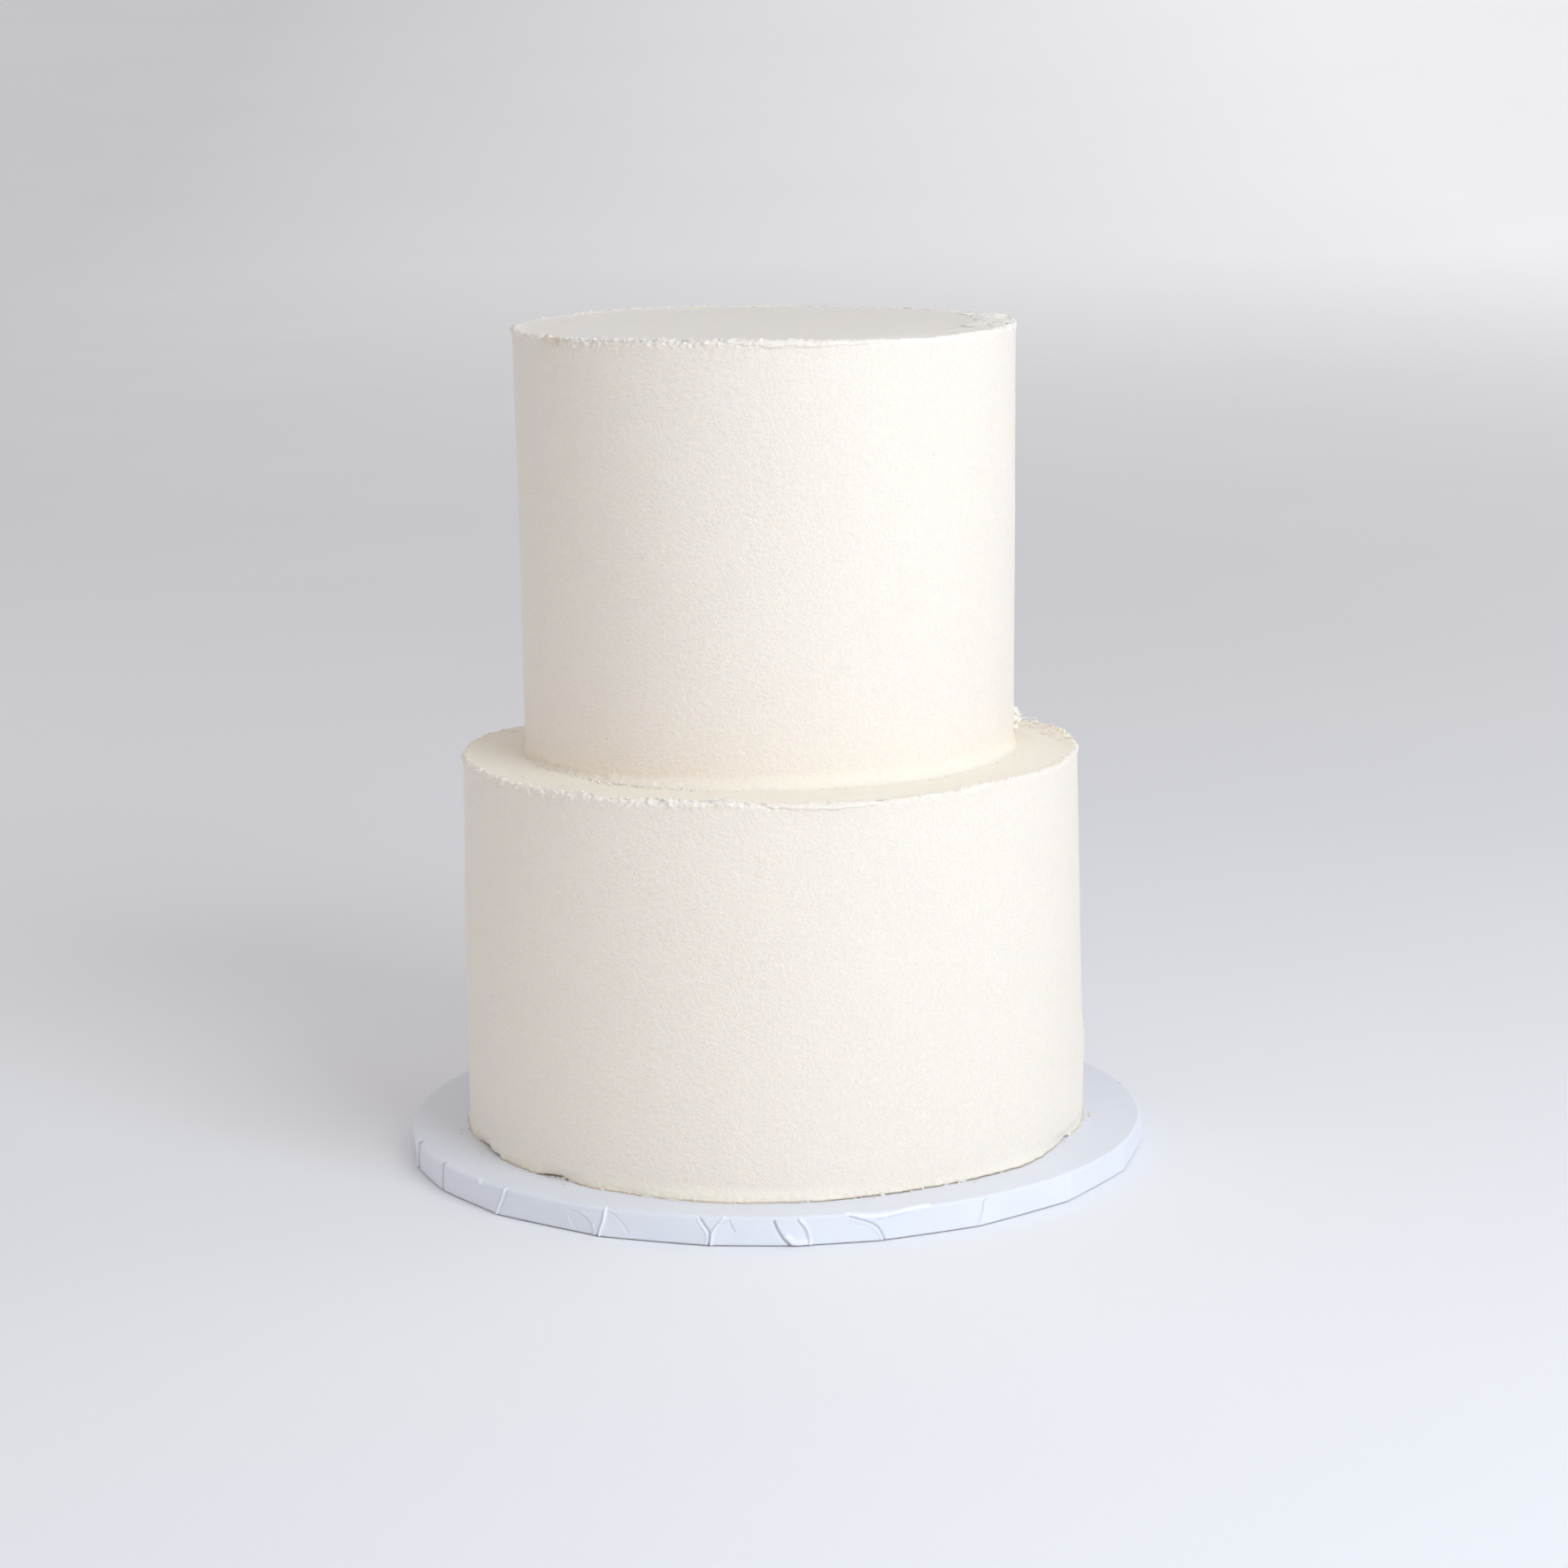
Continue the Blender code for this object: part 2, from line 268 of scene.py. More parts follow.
def bump(angles, middle_degrees, spread_degrees):
    """1 at the middle angle, fading out smoothly over the spread."""
    apart = (angles - math.radians(middle_degrees) + math.pi) % FULL_TURN - math.pi
    return bell(apart, 0, math.radians(spread_degrees))


def near(angles, stretch):
    """1 in the middle of a named stretch, fading out round it."""
    return bump(angles, *STRETCHES[stretch])


def ease(share):
    """A smooth step from 0 to 1."""
    share = np.clip(share, 0.0, 1.0)
    return share * share * (3 - 2 * share)


def noise_at(points, grain, seed, octaves=1):
    """Noise from about -1 to 1 at each point, with features about grain wide."""
    shift = Vector((13.7 * seed, 5.3 * seed, 9.1 * seed))
    return np.array([noise.fractal(Vector(p) / grain + shift, 1.0, 2.0, octaves) for p in points])


def smooth_path(points, count):
    """Points on a smooth curve through the given ones."""
    known = [points[0], *points, points[-1]]
    known = [np.array(point, float) for point in known]
    path = []
    for place in np.linspace(0, len(points) - 1, count):
        start = min(int(place), len(points) - 2)
        a, b, c, d = known[start:start + 4]
        t = place - start
        path.append(0.5 * (2 * b + (c - a) * t + (2 * a - 5 * b + 4 * c - d) * t ** 2
                           + (3 * b - a - 3 * c + d) * t ** 3))
    return np.array(path)


def ring_angles(steps):
    """The angles of the points of a ring."""
    return FULL_TURN * np.arange(steps) / steps


def round_points(angles, radii, heights, middle_y=0.0):
    """World points of polar ones. The radii and heights may be one number."""
    heights = np.broadcast_to(heights, len(angles))
    return np.stack([radii * np.cos(angles), middle_y + radii * np.sin(angles), heights], axis=1)


def stitch(low, high):
    """Faces between two rings of vertices, one of which may be some times as fine."""
    if len(low) == len(high):
        ahead = [(n + 1) % len(low) for n in range(len(low))]
        return [(low[n], low[m], high[m], high[n]) for n, m in enumerate(ahead)]
    coarse, fine = (low, high) if len(low) < len(high) else (high, low)
    split = len(fine) // len(coarse)
    half = split // 2 + 1
    faces = []
    for n, here in enumerate(coarse):
        ahead = coarse[(n + 1) % len(coarse)]
        run = [fine[(n * split + k) % len(fine)] for k in range(split + 1)]
        faces += [(here, run[k + 1], run[k]) for k in range(half)]
        faces.append((here, ahead, run[half]))
        faces += [(ahead, run[k + 1], run[k]) for k in range(half, split)]
    return faces if coarse is low else [tuple(reversed(face)) for face in faces]


def add_piece(name, mesh, material, node):
    """Puts a finished mesh in the scene, in place of a node."""
    mesh.materials.append(material)
    mesh.shade_smooth()
    piece = bpy.data.objects.new(name, mesh)
    bpy.context.collection.objects.link(piece)
    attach(piece, "root")
    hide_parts(node)


def keep_values(mesh, **values):
    """Keeps named numbers for every point of the mesh."""
    for name, numbers in values.items():
        attribute = mesh.attributes.new(name, "FLOAT", "POINT")
        attribute.data.foreach_set("value", np.asarray(numbers, np.float32))


def ringed_mesh(name, rings, **values):
    """A closed mesh from rings that run up its side and in over its top."""
    starts = np.cumsum([0] + [len(ring) for ring in rings])
    loops = [list(range(start, start + len(ring))) for start, ring in zip(starts, rings)]
    faces = [tuple(reversed(loops[0]))]
    for low, high in zip(loops, loops[1:]):
        faces += stitch(low, high)
    faces.append(tuple(loops[-1]))
    mesh = bpy.data.meshes.new(name)
    mesh.from_pydata(np.concatenate(rings).tolist(), [], faces)
    keep_values(mesh, **values)
    return mesh


def side_shape(seed, foot, rim, foot_radius, rim_radius, marks):
    """The radius of a tier's side, uneven like its solid, with a few soft marks."""
    flare = uneven_wave(seed, (2, 3, 5), SIDE_UNEVENNESS)
    drift = uneven_wave(seed + 1, (2, 3, 4, 7), SIDE_UNEVENNESS)

    def radius(angles, heights):
        share = (heights - foot) / (rim - foot)
        straight = foot_radius + (rim_radius - foot_radius) * share
        total = straight + flare(angles) * np.cos(math.pi * share) + drift(angles + 1.5 * share)
        for middle, height, spread, tall, size in marks:
            total += size * MM * bump(angles, middle, spread) * bell(heights, height, tall * MM)
        return total

    return radius


def lower_foot(angles, heights):
    """What the lower tier's foot adds to its radius."""
    near_board = 1 - ease(heights / FOOT_HEIGHT)
    ragged = uneven_wave(31, (6, 11, 17, 26), 0.4 * MM)(angles)
    marks = sum(out * MM * bump(angles, middle, spread) for middle, spread, out in FOOT_MARKS)
    return near_board * (ragged - 0.5 * MM + marks)


def upper_foot(angles, heights):
    """What the cove at the upper tier's foot adds to its radius."""
    towards_front = 0.5 + 0.5 * np.cos(angles - COVE_FRONT_ANGLE)
    fullness = COVE_THINNEST_SHARE + (1 - COVE_THINNEST_SHARE) * towards_front ** 1.5
    fullness = fullness * (1 - COVE_RIGHT_THINNING * near(angles, "thin cove"))
    share = np.clip(heights / (COVE_HEIGHT * fullness), 0.0, 1.0)
    runout = np.clip((COVE_RUNOUT_TOP - heights) / COVE_RUNOUT_HEIGHT, 0.0, 1.0)
    return fullness * (COVE_WIDTH * (1 - share) ** 2 + COVE_RUNOUT * runout ** 1.5)


def rim_profile(angles, profile):
    """How far the rim lies above its level, a little smoothed, in metres."""
    middles, upward = np.array(profile).T
    places = [np.degrees(angles) + shift for shift in (-1.5, 0.0, 1.5)]
    return MM * np.mean([np.interp(place, middles, upward, period=360) for place in places], axis=0)


def crag_strength(angles, crags):
    """How craggy the rim is at each angle, from 0 to 1."""
    strength = EVEN_CRAGS + sum(size * bump(angles, middle, spread) for middle, spread, size in crags)
    return np.clip(strength, 0.0, 1.0)


class TierShape:
    """The points of one tier, gathered ring by ring in polar form."""

    def __init__(self, steps, middle_y):
        self.steps = steps
        self.middle_y = middle_y
        self.rings = []

    def add(self, fine, radius, height, lift, zone):
        """Adds a ring. radius is a function of the angles, height a number or such a function, and
        lift is 0 on the side and 1 on the top."""
        angles = ring_angles(self.steps * (FINE_SPLIT if fine else 1))
        count = len(angles)
        heights = height(angles) if callable(height) else np.full(count, height)
        self.rings.append((angles, radius(angles), heights, np.full(count, lift), [zone] * count))

    def gathered(self):
        """The angles, radii, heights, lifts and zones of all rings, each as one array."""
        return [np.concatenate([np.asarray(ring[n]) for ring in self.rings]) for n in range(5)]

    def points(self, angles, radii, heights):
        """World points of polar ones."""
        return round_points(angles, radii, heights, self.middle_y)

    def split(self, points):
        """The points of each ring again."""
        ends = np.cumsum([len(ring[0]) for ring in self.rings])[:-1]
        return np.split(points, ends)


def rim_and_side(shape, radius, rim, side_from, side_gap):
    """Adds the rings of the side and of the rim."""
    side_to = rim + RIM_SECTION[0][1] * MM
    count = int((side_to - side_from) / side_gap)
    for height in np.linspace(side_from, side_to, count + 1)[1:-1]:
        shape.add(False, lambda a, z=height: radius(a, z), height, 0.0, "side")
    for share, (inward, above) in enumerate(smooth_path(RIM_SECTION, RIM_RINGS)):
        lift = float(ease((share / (RIM_RINGS - 1) - 0.15) / 0.5))
        height = rim + above * MM
        shape.add(True, lambda a, z=min(height, rim), i=inward: radius(a, z) - i * MM, height, lift, "rim")


def flap_relief(angles, below, flap, seed):
    """The icing that hangs over the rim: it stands out and ends in a crevice."""
    middles, reach = np.array(flap).T
    reach = MM * np.interp((np.degrees(angles) + 180) % 360 - 180, middles, reach)
    wavy = 1 + uneven_wave(seed, (37, 61, 97), 0.22)(angles)
    strength = ease(reach / (0.9 * MM))
    above_line = ease((reach * wavy - below) / (0.3 * MM) + 0.5)
    crevice = bell(below - reach * wavy, 0.15 * MM, 0.26 * MM)
    return strength * (FLAP_THICKNESS * above_line - 0.30 * MM * crevice)


def roughened(shape, seed, foot, rim, rim_radius, crags, profile, bulges, flap):
    """The tier's points with its fine relief, still in polar form."""
    angles, radii, heights, lifts, zones = shape.gathered()
    smooth = shape.points(angles, radii, heights)
    below, inward = rim - heights, rim_radius - radii
    strength = crag_strength(angles, crags)
    crest = bell(below, 0.5 * MM, 1.7 * MM)
    on_rim = (zones == "rim") * crest * (1 - ease((inward - 1.2 * MM) / (2.6 * MM)))
    crumbs = noise_at(smooth, 1.3 * MM, seed + 2, 3)
    lumps = noise_at(smooth, 4.0 * MM, seed + 3, 2)
    relief = 0.10 * MM * noise_at(smooth, 14 * MM, seed, 2)
    relief += 0.04 * MM * noise_at(smooth, 3.2 * MM, seed + 1, 2)
    relief += on_rim * strength * MM * (1.30 * np.maximum(crumbs, -0.35) + 0.80 * np.maximum(lumps, -0.35))
    outward = sum(out * MM * bump(angles, middle, spread) for middle, spread, out in bulges)
    outward = outward * bell(below, 0, 2.4 * MM) * (zones == "rim")
    outward += flap_relief(angles, below, flap, seed + 9) * (zones == "rim")
    share = np.clip((heights - foot) / (rim - foot), 0, 1)
    weight = np.where(lifts > 0, 1 - ease((inward - 2 * MM) / (10 * MM)), share ** 8)
    radii = radii + (relief + outward) * (1 - lifts)
    heights = heights + relief * lifts + weight * rim_profile(angles, profile)
    return angles, radii, heights, zones, smooth, inward, on_rim, crumbs


def upper_tier(material):
    """The narrow tier: a craggy rim, a swiped top and the cove at its foot."""
    seed = 67
    radius = side_shape(seed, UPPER_FOOT, UPPER_RIM, UPPER_FOOT_RADIUS, UPPER_TOP_RADIUS, UPPER_SIDE_MARKS)
    shape = TierShape(UPPER_STEPS, UPPER_MIDDLE_Y)
    for level in UPPER_FOOT_LEVELS:
        shape.add(True, lambda a, z=level * MM: radius(a, UPPER_FOOT + z) + upper_foot(a, z),
                  UPPER_FOOT + level * MM, 0.0, "foot")
    rim_and_side(shape, radius, UPPER_RIM, UPPER_FOOT + UPPER_FOOT_LEVELS[-1] * MM, 2.5 * MM)
    top = UPPER_RIM - LIP_HEIGHT
    for inward in np.linspace(4.6, 12.0, 9):
        shape.add(True, lambda a, i=inward: radius(a, UPPER_RIM) - i * MM, top, 1.0, "top")
    for reach in np.linspace(UPPER_TOP_RADIUS - 13.5 * MM, 0.8 * MM, 32):
        shape.add(False, lambda a, r=reach: np.full(len(a), r), top, 1.0, "top")
    angles, radii, heights, zones, smooth, inward, on_rim, crumbs = roughened(
        shape, seed, UPPER_FOOT, UPPER_RIM, UPPER_TOP_RADIUS, UPPER_CRAGS, UPPER_RIM_PROFILE,
        UPPER_RIM_BULGES, UPPER_FLAP)

    stretched = smooth * np.array([0.12, 1.0, 1.0])
    swipes = noise_at(stretched, 3.0 * MM, seed + 5, 3)
    broad = noise_at(stretched, 16 * MM, seed + 6, 2)
    layers = noise_at(stretched * np.array([2.2, 1.6, 1.0]), 3.2 * MM, seed + 7, 2)
    layers = ease(layers / 0.10) + ease((layers - 0.22) / 0.10)
    on_top = ((zones == "top") | (zones == "rim")) * ease((inward - 0.6 * MM) / (2.5 * MM))
    at_right = near(angles, "layered top") * (1 - ease((inward - 5 * MM) / (10 * MM)))
    at_back = bell(smooth[:, 1], BACK_RIDGE_Y, 1.6 * MM)
    heights += on_top * MM * (0.18 * swipes + 0.22 * broad + 0.55 * at_right * layers + 0.30 * at_back)

    above = heights - UPPER_FOOT
    on_foot = (zones == "foot") * 1.0
    cove_lumps = noise_at(smooth, 2.2 * MM, seed + 8, 3)
    at_left = near(angles, "lumpy cove")
    radii += MM * on_foot * (1 - ease(above / FOOT_HEIGHT)) * cove_lumps * (0.25 + 0.55 * at_left)
    crevice_height = (1.0 + 0.7 * cove_lumps) * MM
    crevice = near(angles, "cove crevice") * bell(above, crevice_height, 0.8 * MM)
    crevice *= np.clip(0.55 + 1.1 * cove_lumps, 0, 1)
    radii -= 0.32 * MM * on_foot * crevice
    pit = near(angles, "cove pit") * bell(above, 1.6 * MM, 0.8 * MM)
    radii -= 1.0 * MM * on_foot * pit
    # Yellower, brighter icing low in the cove: softer buttercream, and partly painted bounce light between
    # the tiers.
    butter = 0.80 * on_foot * (1 - ease((above + 1 * MM) / (8 * MM)))
    butter += 0.45 * on_foot * near(angles, "yellow cove") * (1 - ease((above - 5 * MM) / (6 * MM)))
    pale = 0.40 * on_top + 0.25 * on_rim
    at_foot = near(angles, "cove stain") * (1 - ease(above / (3 * MM)))
    # Painted shade in the cove's crevice and pit, and a painted contact shadow low on the cove at the left.
    stain = on_foot * (0.30 * crevice + 0.10 * at_foot + 0.5 * pit)
    # Darker brown on the crumbs in the rim's dent at the front left.
    stain += 0.50 * on_rim * near(angles, "stained rim") * ease((0.5 + crumbs) / 0.6)
    rings = shape.split(shape.points(angles, radii, heights))
    mesh = ringed_mesh("upper_icing", rings, butter=butter - pale, stain=stain)
    add_piece("upper_icing", mesh, material, "upper_tier")


def gap_height(angles):
    """How far the lower tier's foot stands clear of the board."""
    return sum(height * MM * bump(angles, middle, spread) for middle, spread, height in FOOT_GAPS)


def lower_tier(material):
    """The wide tier: a craggy rim, a ledge round the upper tier and a ragged foot."""
    seed = 41
    radius = side_shape(seed, LOWER_FOOT, LOWER_RIM, LOWER_FOOT_RADIUS, LOWER_TOP_RADIUS, LOWER_SIDE_MARKS)
    shape = TierShape(LOWER_STEPS, LOWER_MIDDLE_Y)
    shape.add(True, lambda a: radius(a, LOWER_FOOT) - 3.5 * MM, BOARD_TOP + 0.02 * MM, 0.0, "foot")

    def foot_radius(angles, level, inward):
        undercut = np.clip(gap_height(angles) / (0.3 * MM), 0, 1)
        inward = inward * undercut - FOOT_FEATHER * (1 - undercut) * (inward > 0)
        return radius(angles, LOWER_FOOT + level) + lower_foot(angles, level) - inward * MM

    for level, inward in ((0.0, 2.6), (0.03, 0.7), (0.12, 0.2)):
        shape.add(True, lambda a, v=level, i=inward: foot_radius(a, v * MM, i),
                  lambda a, v=level: BOARD_TOP + 0.05 * MM + v * MM + gap_height(a), 0.0, "foot")
    for level in np.linspace(0.4 * MM, FOOT_HEIGHT + 0.5 * MM, 12):
        left = 1 - level / (FOOT_HEIGHT + 0.5 * MM)
        shape.add(True, lambda a, v=level: foot_radius(a, v, 0.0),
                  lambda a, v=level, s=left: LOWER_FOOT + v + s * gap_height(a), 0.0, "foot")
    rim_and_side(shape, radius, LOWER_RIM, LOWER_FOOT + FOOT_HEIGHT + 0.5 * MM, 2.6 * MM)
    ledge = LOWER_RIM - LIP_HEIGHT
    for inward in np.linspace(4.7, 26.0, 24):
        shape.add(False, lambda a, i=inward: radius(a, LOWER_RIM) - i * MM, ledge, 1.0, "top")
    for reach in (0.06, 0.03):
        shape.add(False, lambda a, r=reach: np.full(len(a), r), ledge, 1.0, "hidden")
    angles, radii, heights, zones, smooth, inward, on_rim, crumbs = roughened(
        shape, seed, LOWER_FOOT, LOWER_RIM, LOWER_TOP_RADIUS, LOWER_CRAGS, LOWER_RIM_PROFILE,
        LOWER_RIM_BULGES, LOWER_FLAP)

    around = 0.10 * LOWER_TOP_RADIUS
    spun = np.stack([radii, around * np.cos(angles), around * np.sin(angles)], axis=1)
    swipes = noise_at(spun, 2.8 * MM, seed + 5, 3)
    on_top = ((zones == "top") | (zones == "rim")) * ease((inward - 0.8 * MM) / (2.5 * MM))
    at_right = near(angles, "swiped ledge")
    heights += MM * on_top * swipes * (0.22 + 0.45 * at_right)

    above = heights - LOWER_FOOT
    on_foot = (zones == "foot") * 1.0
    radii += 0.5 * MM * on_foot * (1 - ease(above / (2.5 * MM))) * noise_at(smooth, 2.0 * MM, seed + 8, 3)
    at_left = near(angles, "yellow foot")
    # Yellower, brighter icing over the ledge: softer buttercream, and partly painted bounce light from the
    # upper tier's side.
    ledge_edge = ease((inward + 1.4 * MM * crumbs - 0.2 * MM) / (1.4 * MM))
    butter = 0.88 * (heights > LOWER_RIM - 4 * MM) * ledge_edge
    butter += (1 - ease(above / (4 * MM + 4 * MM * at_left))) * (0.60 + 0.40 * at_left)
    butter += 0.30 * near(angles, "yellow side") * (1 - ease((above - 5 * MM) / (28 * MM)))
    pale = on_rim * (0.10 + 0.40 * near(angles, "pale rim"))
    from_joint = np.hypot(smooth[:, 0], smooth[:, 1] - UPPER_MIDDLE_Y) - UPPER_FOOT_RADIUS
    # A darker spot on the ledge near the upper tier, painted shade along the joint of the tiers at the left,
    # and a darker band by the rim at the right.
    stain = 0.30 * on_top * near(angles, "ledge spot") * bell(from_joint, 4 * MM, 3 * MM)
    stain += 0.16 * on_top * near(angles, "ledge stain") * bell(from_joint, 1 * MM, 2.2 * MM)
    stain += 0.25 * near(angles, "ledge edge") * on_top * (1 - ease(inward / (7 * MM)))
    # Painted contact shadow: a dark line along the lowest 0.3 mm of the foot, on the board. At the left the
    # foot is also darker towards the bottom.
    stain += on_foot * (0.75 * (above < 0.3 * MM) + 0.12 * at_left * (1 - ease(above / (3 * MM))))
    rings = shape.split(shape.points(angles, radii, heights))
    mesh = ringed_mesh("lower_icing", rings, butter=butter - pale, stain=stain)
    add_piece("lower_icing", mesh, material, "lower_tier")


# The loose icing


def lump_points(unit, middle, size, turn, seed):
    """The points of one lump: a rough ball, stretched by size and turned about Z."""
    uneven = np.array([noise.noise(Vector(p) * 1.4 + Vector((seed * 1.7, seed * 0.9, seed))) for p in unit])
    ball = unit * (1 + 0.45 * uneven)[:, None] * np.array(size)
    across = ball[:, 0] * math.cos(turn) - ball[:, 1] * math.sin(turn)
    along = ball[:, 0] * math.sin(turn) + ball[:, 1] * math.cos(turn)
    return np.stack([across, along, ball[:, 2]], axis=1) + np.array(middle)


def unit_ball(subdivisions):
    """The points and faces of a ball of radius 1."""
    ball = bmesh.new()
    bmesh.ops.create_icosphere(ball, subdivisions=subdivisions, radius=1.0)
    points = np.array([vertex.co for vertex in ball.verts])
    faces = [[vertex.index for vertex in face.verts] for face in ball.faces]
    ball.free()
    return points, faces


def lumps_mesh(name, lumps, butter):
    """One mesh of many lumps, each given as (middle, size, turn)."""
    unit, unit_faces = unit_ball(2)
    points, faces = [], []
    for number, (middle, size, turn) in enumerate(lumps):
        start = number * len(unit)
        points.append(lump_points(unit, middle, size, turn, number))
        faces += [[start + index for index in face] for face in unit_faces]
    mesh = bpy.data.meshes.new(name)
    mesh.from_pydata(np.concatenate(points).tolist(), [], faces)
    keep_values(mesh, butter=np.full(len(mesh.vertices), butter), stain=np.zeros(len(mesh.vertices)))
    return mesh


def add_lumps(name, lumps, butter, node, material):
    """Puts many lumps of icing in the scene as one piece."""
    add_piece(name, lumps_mesh(name, lumps, butter), material, node)


def spot(angle, radius, height, middle_y):
    """The point at that angle, radius and height round an axis."""
    return (radius * math.cos(angle), middle_y + radius * math.sin(angle), height)


def scattered(draw, count, crags):
    """Angles drawn where the rim is craggy."""
    angles = []
    while len(angles) < count:
        angle = draw.uniform(0, FULL_TURN)
        if draw.random() < float(crag_strength(angle, crags)):
            angles.append(angle)
    return angles


def swiped_strokes(draw, stretches, rim_radius, height, middle_y):
    """Thin flat ridges that a knife left on a top, drawn out along X."""
    lumps = []
    for count, angles, thickness in stretches:
        for _ in range(count):
            angle = math.radians(draw.uniform(*angles))
            place = spot(angle, rim_radius - draw.uniform(1.6, 12) * MM, height, middle_y)
            thick = draw.uniform(*thickness) * MM
            size = (2.2 * thick, draw.uniform(5, 12) * thick, thick)
            lumps.append((place, size, math.radians(90 + draw.gauss(0, 5))))
    return lumps


def top_strokes(material):
    """The strokes on the upper tier's top, mostly at its right, and on the ledge."""
    draw = random.Random(33)
    top = (UPPER_TOP_RADIUS, UPPER_RIM - LIP_HEIGHT + 0.28 * MM, UPPER_MIDDLE_Y)
    add_lumps("upper_top_strokes", swiped_strokes(draw, TOP_STROKES, *top), 0.15, "upper_tier", material)
    ledge = (LOWER_TOP_RADIUS, LOWER_RIM - LIP_HEIGHT + 0.05 * MM, LOWER_MIDDLE_Y)
    add_lumps("ledge_strokes", swiped_strokes(draw, LEDGE_STROKES, *ledge), 0.4, "lower_tier", material)


def side_clump(material):
    """The small clump at the right of the upper tier, just above the ledge."""
    lumps = []
    for degrees, height, out, size in CLUMP_LUMPS:
        angle = math.radians(degrees)
        place = spot(angle, UPPER_FOOT_RADIUS + out * MM, height, UPPER_MIDDLE_Y)
        lumps.append((place, (size * MM, 1.3 * size * MM, size * MM), angle))
    add_lumps("upper_side_clump", lumps, 0.25, "upper_tier", material)


def rim_crumbs(name, seed, count, crags, flakes, profile, rim, rim_radius, middle_y, node, butter, material):
    """Crumbs and flakes of icing along a rim, sunk halfway into it."""
    draw = random.Random(seed)
    lumps = []
    for degrees, inward, wide, long, thick in flakes:
        angle = math.radians(degrees)
        height = rim + float(rim_profile(angle, profile)) + 0.1 * MM
        place = spot(angle, rim_radius - inward * MM, height, middle_y)
        lumps.append((place, (wide * MM, long * MM, thick * MM), angle))
    for angle in scattered(draw, count, crags):
        inward = draw.uniform(-0.1, 2.4) * MM
        size = draw.uniform(0.15, 0.48) * MM
        height = rim + float(rim_profile(angle, profile)) - 0.05 * MM - 0.25 * max(inward - 1 * MM, 0)
        place = spot(angle, rim_radius - inward, height, middle_y)
        lumps.append((place, (size, draw.uniform(1.0, 2.4) * size, 0.7 * size), angle))
    add_lumps(name, lumps, butter, node, material)


def ledge_crumbs(material):
    """Crumbs on the ledge, most of them at the left of the upper tier's foot."""
    draw = random.Random(5)
    lumps = []
    for _ in range(LEDGE_CRUMB_COUNT):
        angle = math.radians(draw.gauss(-126, 13) if draw.random() < 0.65 else draw.uniform(-180, 180))
        away = draw.gauss(-0.2, 0.9) * MM
        size = draw.uniform(0.2, 0.5) * MM
        reach = UPPER_FOOT_RADIUS + float(upper_foot(angle, -0.6 * MM)) + away
        place = spot(angle, reach, LOWER_RIM - LIP_HEIGHT + 0.3 * size, UPPER_MIDDLE_Y)
        lumps.append((place, (size, draw.uniform(1, 1.8) * size, 0.7 * size), angle))
    add_lumps("ledge_crumbs", lumps, 0.75, "lower_tier", material)


def foot_crumbs(material):
    """Crumbs and smears of icing on the board, along the lower tier's foot."""
    draw = random.Random(11)
    lumps = []
    for _ in range(FOOT_CRUMB_COUNT):
        angle = draw.uniform(0, FULL_TURN)
        away = draw.gauss(-0.3, 0.4) * MM if draw.random() < 0.88 else draw.uniform(0.5, 4) * MM
        size = draw.uniform(0.2, 0.6) * MM
        reach = LOWER_FOOT_RADIUS + float(lower_foot(angle, 0.0)) + away
        thin = 0.35 if away > 0.4 * MM else 0.8
        place = spot(angle, reach, BOARD_TOP + 0.5 * thin * size, LOWER_MIDDLE_Y)
        lumps.append((place, (size, draw.uniform(1, 2.5) * size, thin * size), angle))
    for degrees, away, wide, long, thick in FOOT_SMEARS:
        angle = math.radians(degrees)
        reach = LOWER_FOOT_RADIUS + float(lower_foot(angle, 0.0)) + away * MM
        place = spot(angle, reach, BOARD_TOP + 0.4 * thick * MM, LOWER_MIDDLE_Y)
        lumps.append((place, (wide * MM, long * MM, thick * MM), angle))
    add_lumps("foot_crumbs", lumps, -0.1, "lower_tier", material)


# The board


def pleat_angles():
    """The angles of the pleats in the wrapping. Behind they are spaced by a rule."""
    draw = random.Random(17)
    first, last = FRONT_PLEATS[0] + FULL_TURN, FRONT_PLEATS[-1]
    spacing = (first - last) / (BACK_PLEAT_COUNT + 1)
    shifts = [draw.uniform(-PLEAT_SHIFT, PLEAT_SHIFT) for _ in range(BACK_PLEAT_COUNT)]
    return list(FRONT_PLEATS) + [last + spacing * (n + 1 + shift) for n, shift in enumerate(shifts)]


def flats(angles, pleats):
    """How far the wrapping lies inside the round between pleats, as a share."""
    turned = (angles - pleats[0]) % FULL_TURN + pleats[0]
    ends = np.array(pleats + [pleats[0] + FULL_TURN])
    after = np.searchsorted(ends, turned, side="right")
    before, after = ends[after - 1], ends[np.minimum(after, len(ends) - 1)]
    chord = np.cos((after - before) / 2) / np.cos(turned - (before + after) / 2)
    return FLAT_SHARE * (1 - chord)


